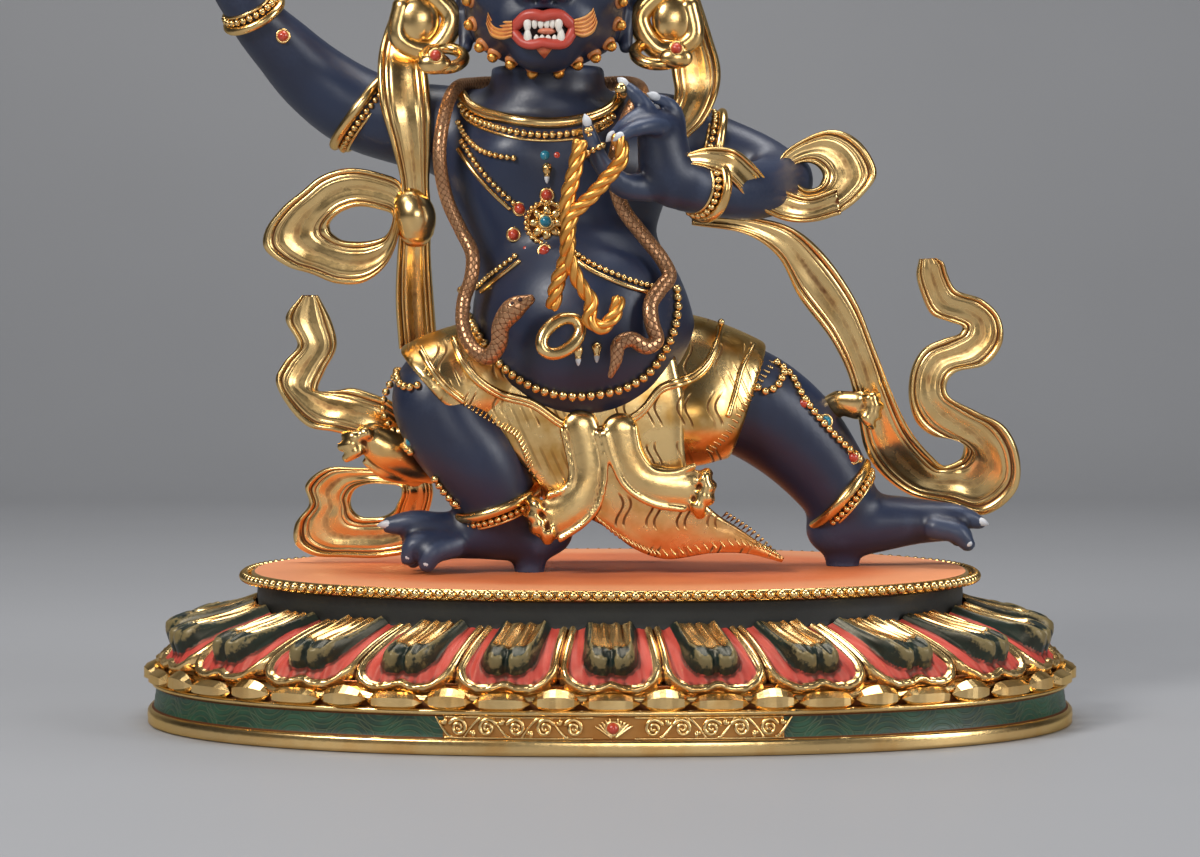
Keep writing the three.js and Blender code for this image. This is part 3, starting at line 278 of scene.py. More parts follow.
class Clay:
    """A block of wax in cells of one size, all lengths in mm."""

    def __init__(self, low, high, cell):
        self.low, self.cell = np.asarray(low, float), cell
        self.count = np.ceil((np.asarray(high, float) - self.low) / cell).astype(int) + 1
        self.field = np.full(self.count, 6.0, np.float32)

    def block(self, low, high):
        first = np.clip(np.floor((np.asarray(low) - self.low) / self.cell).astype(int), 0, self.count - 2)
        last = np.clip(np.ceil((np.asarray(high) - self.low) / self.cell).astype(int) + 1, first + 2, self.count)
        part = tuple(slice(a, b) for a, b in zip(first, last))
        axes = [(self.low[k] + self.cell * np.arange(first[k], last[k])).astype(np.float32) for k in range(3)]
        return part, np.stack(np.meshgrid(*axes, indexing="ij"), -1)

    def change(self, low, high, distance, how, blend):
        part, p = self.block(low, high)
        d, old = distance(p), self.field[part]
        if how == "add":
            self.field[part] = soft_min(old, d, blend)
        else:
            self.field[part] = -soft_min(-old, d, blend)

    def ball(self, centre, radii, blend=1.0, how="add"):
        centre, radii = np.asarray(centre, float), np.broadcast_to(np.asarray(radii, float), 3)

        def distance(p):
            q = (p - centre) / radii
            length = np.linalg.norm(q, axis=-1)
            slope = np.linalg.norm(q / radii, axis=-1)
            return (length * (length - 1) / np.maximum(slope, 1e-4)).astype(np.float32)

        room = radii + blend + 2 * self.cell + 1
        self.change(centre - room, centre + room, distance, how, blend)

    def limb(self, stations, blend=1.0, how="add"):
        """A rounded limb through stations [x, y, z, radius, depth ratio]."""
        rows = np.array([list(s) + [1.0] * (5 - len(s)) for s in stations], float)
        curve = spline(rows, 7 * (len(rows) - 1) + 1)
        _, side, _ = frames_along(curve[:, :3])
        radius, ratio = curve[:, 3], curve[:, 4]
        reach = radius * np.maximum(ratio, 1) + blend + 2 * self.cell + 1
        low, high = (curve[:, :3] - reach[:, None]).min(0), (curve[:, :3] + reach[:, None]).max(0)

        def distance(p):
            out = np.full(p.shape[:-1], 6.0, np.float32)
            start = p[0, 0, 0]
            for i in range(len(curve) - 1):
                a, b = curve[i, :3], curve[i + 1, :3]
                room = max(reach[i], reach[i + 1])
                box = tuple(
                    slice(max(0, int((min(a[k], b[k]) - room - start[k]) / self.cell)),
                          int((max(a[k], b[k]) + room - start[k]) / self.cell) + 2)
                    for k in range(3)
                )
                q = p[box] - a.astype(np.float32)
                way = b - a
                t = np.clip(q @ (way / max(way @ way, 1e-6)), 0, 1)
                q = q - t[..., None] * way
                deep = q @ unit(side[i] + side[i + 1])
                squash = mix(ratio[i], ratio[i + 1], t)
                far = np.sqrt(np.maximum((q * q).sum(-1) + deep**2 * (squash**-2 - 1), 0))
                out[box] = np.minimum(out[box], (far - mix(radius[i], radius[i + 1], t)).astype(np.float32))
            return out

        self.change(low, high, distance, how, blend)

    def stack(self, stations, blend=0.0):
        """A nearly upright form from level slices [x, y, z, radius, depth ratio]."""
        rows = spline(stations, 161)
        rows = rows[np.argsort(rows[:, 2])]
        slope = np.hypot(1, np.gradient(rows[:, 3], rows[:, 2]))
        wide = rows[:, 3:4].max() + 6
        low, high = rows[:, :3].min(0) - [wide, wide, 0], rows[:, :3].max(0) + [wide, wide, 0]

        def distance(p):
            x, y, r, ratio, lean = (np.interp(p[0, 0, :, 2], rows[:, 2], c) for c in (*rows[:, [0, 1, 3, 4]].T, slope))
            side = (np.hypot(p[..., 0] - x, (p[..., 1] - y) / ratio) - r) / lean
            ends = np.maximum(p[..., 2] - high[2], low[2] - p[..., 2])
            return np.maximum(side, ends).astype(np.float32)

        self.change(low - [0, 0, 2], high + [0, 0, 2], distance, "add", blend)

    def skinned(self, relax=3):
        """Points and quads of the zero surface, by surface nets, with a light relaxing."""
        f = self.field
        inside = f < 0
        corner = list(product((0, 1), repeat=3))
        n = np.array(f.shape) - 1
        cut = lambda a, c: a[c[0]:c[0] + n[0], c[1]:c[1] + n[1], c[2]:c[2] + n[2]]
        total = sum(cut(inside, c).astype(np.int8) for c in corner)
        cells = np.argwhere((total > 0) & (total < 8))
        values = np.stack([f[tuple((cells + c).T)] for c in corner], 1)
        places = np.array(corner, float)
        summed, hits = np.zeros((len(cells), 3)), np.zeros((len(cells), 1))
        for a in range(8):
            for b in range(a + 1, 8):
                if np.abs(places[a] - places[b]).sum() != 1:
                    continue
                va, vb = values[:, a], values[:, b]
                crossed = ((va < 0) != (vb < 0))[:, None]
                t = (va / np.where(va == vb, 1, va - vb))[:, None]
                summed += np.where(crossed, places[a] + t * (places[b] - places[a]), 0)
                hits += crossed
        points = self.low + (cells + summed / hits) * self.cell
        index = np.full(n, -1, np.int64)
        index[tuple(cells.T)] = np.arange(len(cells))
        quads = []
        for axis in range(3):
            u, v = (axis + 1) % 3, (axis + 2) % 3
            step = np.eye(3, dtype=int)
            here = np.argwhere(np.diff(inside, axis=axis))
            here = here[(here[:, u] > 0) & (here[:, v] > 0) & (here[:, u] < n[u]) & (here[:, v] < n[v])]
            ring = [here - step[u] - step[v], here - step[v], here, here - step[u]]
            quad = np.stack([index[tuple(r.T)] for r in ring], 1)
            flip = ~inside[tuple(here.T)]
            quad[flip] = quad[flip][:, ::-1]
            quads.append(quad)
        quads = np.vstack(quads)
        edges = np.vstack([quads[:, [0, 1]], quads[:, [1, 2]], quads[:, [2, 3]], quads[:, [3, 0]]])
        ends, others = edges.T
        degree = np.maximum(np.bincount(ends, minlength=len(points)), 1)[:, None]
        for _ in range(relax):
            mean = np.stack([np.bincount(ends, points[others, k], len(points)) for k in range(3)], 1) / degree
            points = 0.45 * points + 0.55 * mean
        return points, quads.tolist()


# %% [markdown]
# A finish is a small shader written as sums. One class wraps a shader value so that Python's own signs add
# Maths nodes. The other holds the material and has one method that adds any other node. Gilding,
# for one, is bright metal where it is rubbed and brown where a hollow keeps its patina.

# %% Shader sums and finishes
class Shade:
    """A shader value that can be used in Python sums."""

    def __init__(self, finish, socket):
        self.finish, self.socket = finish, socket

    def sum(self, operation, *values, clamp=False):
        return self.finish.node(
            "ShaderNodeMath", {"operation": operation, "use_clamp": clamp}, dict(enumerate(values))
        )

    __add__ = lambda a, b: a.sum("ADD", a, b)
    __radd__ = lambda a, b: a.sum("ADD", b, a)
    __sub__ = lambda a, b: a.sum("SUBTRACT", a, b)
    __rsub__ = lambda a, b: a.sum("SUBTRACT", b, a)
    __mul__ = lambda a, b: a.sum("MULTIPLY", a, b)
    __rmul__ = lambda a, b: a.sum("MULTIPLY", b, a)
    __truediv__ = lambda a, b: a.sum("DIVIDE", a, b)

    def ramp(self, low, high):
        """0 below low, 1 above high, and smooth between."""
        return self.finish.node(
            "ShaderNodeMapRange", {"interpolation_type": "SMOOTHSTEP"}, {"Value": self, "From Min": low, "From Max": high}
        )


class Finish:
    def __init__(self, name, **fixed):
        self.material = bpy.data.materials.new(name)
        self.material.use_nodes = True
        self.tree = self.material.node_tree
        self.shader = self.tree.nodes["Principled BSDF"]
        for key, value in fixed.items():
            self.shader.inputs[key.replace("_", " ").title()].default_value = value

    def node(self, kind, settings=None, inputs=None, out=0):
        node = self.tree.nodes.new(kind)
        for key, value in (settings or {}).items():
            setattr(node, key, value)
        for key, value in (inputs or {}).items():
            self.put(node.inputs[key], value)
        return Shade(self, node.outputs[out])

    def put(self, socket, value):
        if isinstance(value, Shade):
            self.tree.links.new(value.socket, socket)
        else:
            socket.default_value = value

    def place(self):
        return self.node("ShaderNodeTexCoord", out="Object")

    def attribute(self, name):
        return self.node("ShaderNodeAttribute", {"attribute_name": name}, out="Fac")

    def noise(self, size_mm, detail=3.0, vector=None, rough=0.55):
        """Cloudy noise with grains of about one size."""
        inputs = {"Vector": vector or self.place(), "Scale": 1 / (size_mm * MM), "Detail": detail, "Roughness": rough}
        return self.node("ShaderNodeTexNoise", None, inputs)

    def blend(self, a, b, factor):
        wide = lambda c: (*c, 1.0) if isinstance(c, tuple) and len(c) == 3 else c
        return self.node("ShaderNodeMix", {"data_type": "RGBA"}, {0: factor, 6: wide(a), 7: wide(b)}, out=2)

    def bump(self, height, depth_mm, normal=None):
        inputs = {"Height": height, "Distance": depth_mm * MM, "Strength": 1.0}
        if normal is not None:
            inputs["Normal"] = normal
        return self.node("ShaderNodeBump", None, inputs)

    def feed(self, **sockets):
        for key, value in sockets.items():
            self.put(self.shader.inputs[key.replace("_", " ").title()], value)
        return self.material


# %% Gildings
def gilding(name, bright, patina, depth=0.06, roughness=0.2, patina_amount=1.0):
    """Fire gilding on hand-worked copper: leaf bright on the heights, brown in the hollows."""
    f = Finish(name, specular_tint=(1.0, 0.88, 0.6, 1.0))
    cloud = f.noise(9, 4)
    grain = f.noise(1.1, 3)
    dents = f.noise(3.2, 2)
    hollow = f.attribute("hollow")
    stain = (hollow + (cloud - 0.5) * (depth * 1.6) + (grain - 0.5) * (depth * 0.8)).ramp(depth * 0.25, depth * 1.5)
    warm = cloud.ramp(0.42, 0.72)
    deeper = tuple(c * s for c, s in zip(bright, (0.86, 0.66, 0.42)))
    leaf = f.blend(bright, deeper, warm * 0.6)
    stained = stain * patina_amount
    return f.feed(
        base_color=f.blend(leaf, patina, stained),
        metallic=1.0 - stained * 0.55,
        roughness=roughness + grain * 0.1 + stained * 0.3,
        normal=f.bump(dents * 0.7 + grain * 0.3, 0.06),
    )


GOLD = gilding("Fire gilding", (0.87, 0.6, 0.26), (0.12, 0.035, 0.01))
ROPE_GOLD = gilding("Orange gilding", (0.86, 0.42, 0.1), (0.18, 0.04, 0.01), roughness=0.32)


# %% Paints
def paint(name, main, shade, wear_and_highlight, roughness=0.5, cloud_mm=14, grain_mm=0.9, bump=0.02, coat=0.0, edge=0.05):
    """Brushed mineral paint: cloudy, with painted shade in hollows, and lighter on raised edges, partly worn and partly
    painted highlight.
    """
    f = Finish(name, coat_roughness=0.25, coat_weight=coat)
    cloud = f.noise(cloud_mm, 4)
    grain = f.noise(grain_mm, 3)
    hollow = f.attribute("hollow")
    # Painted shade: hollows are darkened toward the shade colour.
    dark = (hollow + (cloud - 0.5) * edge).ramp(edge * 0.2, edge * 1.8)
    # Raised edges lighten toward the third colour: rubbed gilding where that colour is gold, painted highlight where it
    # is a lighter copy of the paint.
    rubbed = (hollow * -1.0 + (grain - 0.6) * edge).ramp(edge * 0.8, edge * 2.2)
    tone = f.blend(main, shade, cloud.ramp(0.35, 0.75) * 0.45 + dark * 0.55)
    return f.feed(
        base_color=f.blend(tone, wear_and_highlight, rubbed * 0.5),
        roughness=roughness + (grain - 0.5) * 0.16,
        normal=f.bump(grain * 0.6 + cloud * 0.4, bump),
    )


# Each paint has a main colour, a darker colour for cloudy tone and painted shade in hollows, and a lighter one for
# raised edges. That edge colour is rubbed gilding where it is gold, as on the hair, beard and moustache, and painted
# highlight where it is a lighter copy of the paint.
BLUE = paint("Blue-black paint", (0.016, 0.026, 0.06), (0.013, 0.011, 0.019), (0.055, 0.075, 0.13), 0.4, 24, 0.7, 0.03)
LIP_RED = paint("Lip red", (0.42, 0.03, 0.025), (0.2, 0.01, 0.012), (0.6, 0.1, 0.06), 0.38, 4, 0.4, 0.02)
TONGUE = paint("Tongue orange", (0.62, 0.16, 0.08), (0.35, 0.05, 0.03), (0.8, 0.3, 0.18), 0.4, 3, 0.4, 0.02)
TEETH = paint("Tooth white", (0.72, 0.68, 0.6), (0.35, 0.28, 0.22), (0.85, 0.82, 0.76), 0.35, 3, 0.4, 0.01)
NAIL = paint("Nail grey", (0.5, 0.52, 0.55), (0.25, 0.26, 0.3), (0.75, 0.76, 0.78), 0.4, 3, 0.4, 0.01)
HAIR = paint("Flame hair orange", (0.5, 0.1, 0.03), (0.22, 0.02, 0.012), (0.85, 0.45, 0.12), 0.45, 8, 0.7, 0.04)
BEARD = paint("Beard knobs", (0.5, 0.08, 0.03), (0.25, 0.02, 0.012), (0.8, 0.4, 0.12), 0.4, 3, 0.5, 0.02)
MOUSTACHE = paint("Moustache gold-orange", (0.78, 0.33, 0.08), (0.4, 0.05, 0.03), (0.85, 0.45, 0.14), 0.35, 3, 0.4, 0.02)
DARK = paint("Mouth dark", (0.012, 0.004, 0.004), (0.006, 0.003, 0.003), (0.05, 0.01, 0.01), 0.5, 3, 0.4, 0.01)
CORAL = paint("Polished coral", (0.52, 0.05, 0.02), (0.3, 0.015, 0.01), (0.75, 0.14, 0.07), 0.22, 1.6, 0.3, 0.005, coat=0.6)
TURQUOISE = paint("Polished turquoise", (0.012, 0.2, 0.3), (0.006, 0.08, 0.13), (0.06, 0.42, 0.5), 0.22, 1.2, 0.3, 0.005, coat=0.6)
print("finishes:", len(bpy.data.materials))

# %% [markdown]
# The photograph is taken with a long lens from just below the statue's middle, so sides stay parallel. Soft
# light comes from large panels at the front left, right and above; the room behind them stays darker,
# which gives gilding its contrast.

# %% Camera, floor and light
FOCAL_PX = 3508
VIEW_DISTANCE = 0.772
CAMERA_HEIGHT = 0.10035
CAMERA_X = -0.0022
PITCH = math.radians(-2.72)

camera = bpy.data.objects.new("Camera", bpy.data.cameras.new("Camera"))
camera.data.sensor_width = 36
camera.data.lens = FOCAL_PX * 36 / 1200
camera.data.clip_start = 0.05
camera.location = (CAMERA_X, -VIEW_DISTANCE, CAMERA_HEIGHT)
camera.rotation_euler = (math.pi / 2 + PITCH, 0, 0)
bpy.context.scene.collection.objects.link(camera)
bpy.context.scene.camera = camera


def stage_plane(name, size, colour, roughness):
    """The floor sweeps up behind the object, so no horizon line shows."""
    bend = [(-size, 0), (size * 0.35, 0)]
    bend += [(size * 0.35 + 0.3 * math.sin(a), 0.3 - 0.3 * math.cos(a)) for a in np.linspace(0.1, math.pi / 2, 14)]
    bend += [(size * 0.35 + 0.3, size)]
    points = [(x, y, z) for y, z in bend for x in (-size * 1.6, size * 1.6)]
    faces = [(2 * i, 2 * i + 1, 2 * i + 3, 2 * i + 2) for i in range(len(bend) - 1)]
    mesh = bpy.data.meshes.new(name)
    mesh.from_pydata(points, [], faces)
    mesh.polygons.foreach_set("use_smooth", [True] * len(faces))
    f = Finish(name + " finish")
    cloud = f.noise(140, 2)
    mesh.materials.append(f.feed(
        base_color=f.blend(colour, tuple(c * 0.92 for c in colour), cloud),
        roughness=roughness + cloud * 0.05,
    ))
    obj = bpy.data.objects.new(name, mesh)
    bpy.context.scene.collection.objects.link(obj)


def panel(name, place, target, size, watts, colour=(1, 1, 1)):
    light = bpy.data.lights.new(name, "AREA")
    light.shape, light.size, light.size_y = "RECTANGLE", *size
    light.energy, light.color = watts, colour
    obj = bpy.data.objects.new(name, light)
    obj.location = place
    from mathutils import Vector
    obj.rotation_euler = (Vector(target) - Vector(place)).to_track_quat("-Z", "Y").to_euler()
    bpy.context.scene.collection.objects.link(obj)


stage_plane("studio_sweep", 2.0, (0.3, 0.305, 0.32), 0.55)
panel("key", (-0.62, -0.7, 0.72), (0, 0, 0.09), (0.34, 0.34), 9, (1, 0.98, 0.95))
panel("side", (0.85, -0.45, 0.4), (0, 0, 0.1), (0.25, 0.6), 4.5, (0.97, 0.98, 1))
panel("top", (0.0, 0.1, 0.95), (0, 0, 0.1), (0.8, 0.4), 8)
panel("front", (0.2, -1.5, 0.35), (0, 0, 0.1), (0.5, 0.3), 3)
bpy.context.scene.view_settings.view_transform = "Standard"
world = bpy.data.worlds.new("Studio")
world.use_nodes = True
world.node_tree.nodes["Background"].inputs["Color"].default_value = (0.03, 0.031, 0.034, 1)
bpy.context.scene.world = world

# %% [markdown]
# Things that repeat along a line, such as beads, come from one Geometry Nodes tree. It turns a
# drawn line into a curve, spaces points evenly on it, sets one small form on each and turns it with the line.

# %% Strings of beads
def string_tree():
    tree = bpy.data.node_groups.new("Beads on a line", "GeometryNodeTree")
    face = tree.interface
    face.new_socket("Geometry", in_out="INPUT", socket_type="NodeSocketGeometry")
    for name, kind in (("Spacing", "Float"), ("Size", "Vector"), ("Segments", "Int"), ("Rings", "Int")):
        face.new_socket(name, in_out="INPUT", socket_type="NodeSocket" + kind)
    face.new_socket("Material", in_out="INPUT", socket_type="NodeSocketMaterial")
    face.new_socket("Smooth", in_out="INPUT", socket_type="NodeSocketBool")
    face.new_socket("Geometry", in_out="OUTPUT", socket_type="NodeSocketGeometry")

    def node(kind, settings=None, inputs=None):
        made_node = tree.nodes.new(kind)
        for key, value in (settings or {}).items():
            setattr(made_node, key, value)
        for key, value in (inputs or {}).items():
            socket = made_node.inputs[key]
            if isinstance(value, bpy.types.NodeSocket):
                tree.links.new(value, socket)
            else:
                socket.default_value = value
        return made_node

    given = node("NodeGroupInput").outputs
    curve = node("GeometryNodeMeshToCurve", None, {"Mesh": given["Geometry"]})
    spaced = node("GeometryNodeResampleCurve", {"mode": "LENGTH"}, {"Curve": curve.outputs[0], "Length": given["Spacing"]})
    bead = node("GeometryNodeMeshUVSphere", None, {"Segments": given["Segments"], "Rings": given["Rings"], "Radius": 1.0})
    tangent = node("GeometryNodeInputTangent")
    facing = node("GeometryNodeInputNamedAttribute", {"data_type": "FLOAT_VECTOR"}, {"Name": "facing"})
    along = node("FunctionNodeAlignRotationToVector", {"axis": "X"}, {"Vector": tangent.outputs[0]})
    turned_out = node(
        "FunctionNodeAlignRotationToVector", {"axis": "Z", "pivot_axis": "X"},
        {"Rotation": along.outputs[0], "Vector": facing.outputs[0]},
    )
    placed = node("GeometryNodeInstanceOnPoints", None, {
        "Points": spaced.outputs[0], "Instance": bead.outputs[0],
        "Rotation": turned_out.outputs[0], "Scale": given["Size"],
    })
    real = node("GeometryNodeRealizeInstances", None, {"Geometry": placed.outputs[0]})
    smooth = node("GeometryNodeSetShadeSmooth", None, {"Geometry": real.outputs[0], "Shade Smooth": given["Smooth"]})
    dressed = node("GeometryNodeSetMaterial", None, {"Geometry": smooth.outputs[0], "Material": given["Material"]})
    node("NodeGroupOutput", None, {"Geometry": dressed.outputs[0]})
    return tree


STRING = string_tree()


def strung(name, lines, spacing, size, material, node, slot, segments=8, rings=5, smooth=True):
    """Beads along lines of [points, facings, closed], all in mm."""
    points, faces_out, edges = [], [], []
    for path, facing, closed in lines:
        start = len(points)
        points += list(np.asarray(path) * MM)
        faces_out += list(np.broadcast_to(np.asarray(facing, float), (len(path), 3)))
        count = len(path)
        edges += [(start + i, start + (i + 1) % count) for i in range(count if closed else count - 1)]
    mesh = bpy.data.meshes.new(name + "_line")
    mesh.from_pydata([tuple(p) for p in points], edges, [])
    layer = mesh.attributes.new("facing", "FLOAT_VECTOR", "POINT")
    layer.data.foreach_set("vector", np.asarray(faces_out, np.float32).ravel())
    obj = bpy.data.objects.new(name, mesh)
    bpy.context.scene.collection.objects.link(obj)
    modifier = obj.modifiers.new("Beads", "NODES")
    modifier.node_group = STRING
    size = np.broadcast_to(np.asarray(size, float), 3) * MM
    values = {
        "Spacing": spacing * MM, "Size": tuple(size), "Segments": segments, "Rings": rings,
        "Material": material, "Smooth": smooth,
    }
    for socket in STRING.interface.items_tree:
        if socket.in_out == "INPUT" and socket.name in values:
            modifier[socket.identifier] = values[socket.name]
    evaluated = obj.evaluated_get(bpy.context.evaluated_depsgraph_get())
    real = bpy.data.meshes.new_from_object(evaluated)
    obj.modifiers.clear()
    obj.data = real
    bpy.data.meshes.remove(mesh)
    return finish_piece(obj, node, slot, 1)


# %% [markdown]
# The plinth is an oval that is a little squarer than an ellipse. Its twenty-four petals lie evenly round it.
# A petal is a height over the sloping side: a rolled gold edge, a red field, and a dark scroll with a
# fluted gold tongue. The distance to each border is kept on the points, so the paint follows the form.

# %% Outline of the plinth
FOOT, TABLE, TABLE_Z, OVAL, PETALS = (101.5, 65.0), (80.0, 54.0), 32.8, 2.3, 24


def oval(angle, inward):
    bend = lambda v: np.sign(v) * np.abs(v) ** (2 / OVAL)
    return np.stack([
        mix(FOOT[0], TABLE[0], inward) * bend(np.cos(angle)),
        mix(FOOT[1], TABLE[1], inward) * bend(np.sin(angle)),
    ], -1)


fine_angles = np.linspace(-np.pi / 2, 1.5 * np.pi, 14401)
fine_steps = np.linalg.norm(np.diff(oval(fine_angles, 0.0), axis=0), axis=1)
fine_lengths = np.concatenate([[0], np.cumsum(fine_steps)])
GIRTH = fine_lengths[-1]


def angle_at(share):
    return np.interp(np.mod(share, 1.0) * GIRTH, fine_lengths, fine_angles)


def way_out(share):
    a = angle_at(share)
    d = oval(a + 0.01, 0.0) - oval(a - 0.01, 0.0)
    return unit(np.stack([d[..., 1], -d[..., 0], 0 * a], -1))


def plinth_points(share, inward, z, bulge=0.0):
    flat = oval(angle_at(share), inward)
    z = np.broadcast_to(z, flat.shape[:-1])
    return np.concatenate([flat, z[..., None]], -1) + way_out(share) * np.asarray(bulge)[..., None]


# %% Core of the plinth
def plinth_core():
    columns = 480
    share = np.arange(columns) / columns
    rows = [
        (0.0, 0.25, 0), (0.0, 0.9, 0), (-0.004, 1.8, 0), (0.0, 2.8, 0), (0.015, 3.25, 0), (0.05, 3.42, 0),
        (0.062, 3.7, 1), (0.07, 5.0, 1), (0.08, 6.5, 1), (0.09, 7.9, 1), (0.085, 8.2, 0), (0.045, 8.45, 0),
        (0.035, 8.9, 0), (0.045, 9.3, 0), (0.1, 9.5, 0), (0.19, 9.9, 0), (0.22, 11.5, 0), (0.24, 12.2, 0),
        (0.3, 13.2, 0), (0.95, 20, 0), (1.12, 24.4, 2), (1.125, 25.9, 2), (1.115, 28, 2), (1.12, 30.0, 2),
        (1.1, 30.4, 2), (1.03, 30.6, 0), (1.0, 30.9, 0), (1.0, 31.2, 0), (1.04, 31.4, 0), (1.05, 32.2, 0),
        (1.06, 32.6, 0), (1.09, 32.8, 3), (1.3, 32.8, 3),
    ]
    rings = [plinth_points(share, inward, z) for inward, z, _ in rows]
    top = np.concatenate([oval(angle_at(share), 1.3) * 0.6, np.full((columns, 1), TABLE_Z)], 1)
    low = np.concatenate([oval(angle_at(share), 0.06), np.zeros((columns, 1))], 1)
    rings = [low * [0.4, 0.4, 1], low] + rings + [top]
    points, faces = skin(rings)
    groups = np.zeros(len(faces), int)
    marks = [0, 0] + [m for _, _, m in rows] + [3]
    for i in range(len(rings) - 1):
        groups[i * columns:(i + 1) * columns] = min(marks[i], marks[i + 1]) if 3 not in marks[i:i + 2] else (
            3 if marks[i] == 3 else 0)
    groups[-columns:] = 3
    along = np.tile(share * GIRTH, len(rings)).tolist() + [0.0, 0.0]
    return piece(
        "plinth_core", points, faces, [GOLD, FRIEZE, WAIST, TABLE_PAINT], "lotus_plinth", "gilding",
        groups=groups, attributes={"along": along},
    )


# %% Petals of the plinth
def rounded(across, along, half, radius):
    """Distance inside a form with a round nose at along = 0 and open at the far end."""
    q = np.maximum(np.abs(across) - (half - radius), 0)
    w = np.maximum(radius - along, 0)
    return radius - np.hypot(q, w)


def plinth_petals():
    columns, rows, length = 54, 46, 16.4
    across_share = (np.arange(PETALS * columns) + 0.0) / (PETALS * columns)
    s = np.linspace(-0.1, 1, rows)
    share, s = np.meshgrid(across_share, s)
    up = np.maximum(s, 0)
    inward = 0.13 + 0.97 * up**1.5 + np.maximum(-s, 0) * 1.1
    z = 12.3 + 12.4 * up**0.82 - np.maximum(-s, 0) * 3.0
    base = plinth_points(share, inward, z)
    normal = unit(np.cross(np.roll(base, -1, 1) - np.roll(base, 1, 1), np.gradient(base, axis=0)))
    u = (share * PETALS + 0.5) % 1.0 - 0.5
    half = mix(10.9, 9.2, up)
    across, along = u * 2 * half, s * length
    rise = 0.9 * np.exp(-((across / 1.7) ** 2))
    edge = rounded(across, along - rise - 0.2, half - 0.05, 6.4)
    cleft = np.exp(-((across / 0.75) ** 2))
    scroll = rounded(across, along - 3.9 - 0.8 * cleft, 5.3, 3.6)
    tongue = rounded(across, along - 8.4 + 0.7 * cleft, 4.1, 1.9)
    height = -2.4 * smooth_step(-edge, -0.1, 1.3)
    height += 0.9 * smooth_step(edge, 0, 0.5) - 0.8 * smooth_step(edge, 1.2, 1.7)
    height += 0.5 * smooth_step(edge, 1.9, 4.5)
    crest = mix(4.3, 1.9, smooth_step(along, 4.6, 15))
    height += crest * np.sqrt(smooth_step(scroll, -0.25, 1.5))
    height -= 1.1 * cleft * smooth_step(scroll, 0, 1) * (1 - smooth_step(along, 6.2, 8.2))
    height -= 0.3 * np.exp(-(((scroll - 1.0) / 0.2) ** 2)) * (1 - smooth_step(scroll, 1.6, 1.9))
    hollow = smooth_step(tongue, -0.1, 0.45)
    height -= hollow * (0.85 + 0.22 * np.cos(across * 2 * np.pi / 2.5))
    wobble = 0.14 * np.sin(across_share * 911) + 0.1 * np.sin(share * 1733 + s * 9)
    points = base + normal * (height + wobble * smooth_step(edge, 0, 2))[..., None]
    points, faces = skin(points, capped=False)
    quads = np.array(faces)
    turn = np.cross(points[quads[:, 1]] - points[quads[:, 0]], points[quads[:, 3]] - points[quads[:, 0]])
    if (turn * points[quads[:, 0]] * [1, 1, 0]).sum() < 0:
        quads = quads[:, ::-1]
    return piece(
        "plinth_petals", points, quads, [PETAL], "lotus_plinth", "lotus_paint",
        attributes={"edge": edge.ravel(), "scroll": scroll.ravel(), "tongue": tongue.ravel()},
    )


def ring_line(inward, z, bulge=0.0, count=720):
    share = np.arange(count) / count
    return plinth_points(share, inward, z, np.full(count, bulge)), way_out(share), True


def plinth_pods():
    """Pods on the ledge: a long bar under each petal and a pointed one between two petals."""
    parts = []
    for k in range(PETALS * 2):
        share = k / (2 * PETALS)
        between = k % 2
        centre = plinth_points(np.array(share), 0.08, 10.7 if not between else 11.0, np.array(0.3))
        out = way_out(np.array(share))
        side = np.array([-out[1], out[0], 0])
        wide, tall, deep = (5.0, 2.5, 2.5) if between else (5.9, 1.9, 2.6)
        rings = []
        for t in np.linspace(-1, 1, 9):
            r = math.sqrt(max(1 - abs(t) ** (1.6 if between else 3.2), 0.0)) + 0.02
            ring = []
            for a in np.linspace(0, 2 * math.pi, 6, endpoint=False) + math.pi / 6:
                high = tall * math.sin(a) * r * (1.1 if math.sin(a) > 0 else 0.75)
                ring.append(centre + side * wide * t + out * deep * math.cos(a) * r + np.array([0, 0, high]))
            rings.append(ring)
        parts.append(skin(rings))
    points, faces = gather(parts)
    return piece("plinth_pods", points, faces, [GOLD], "lotus_plinth", "gilding", flat=True, rounds=1)


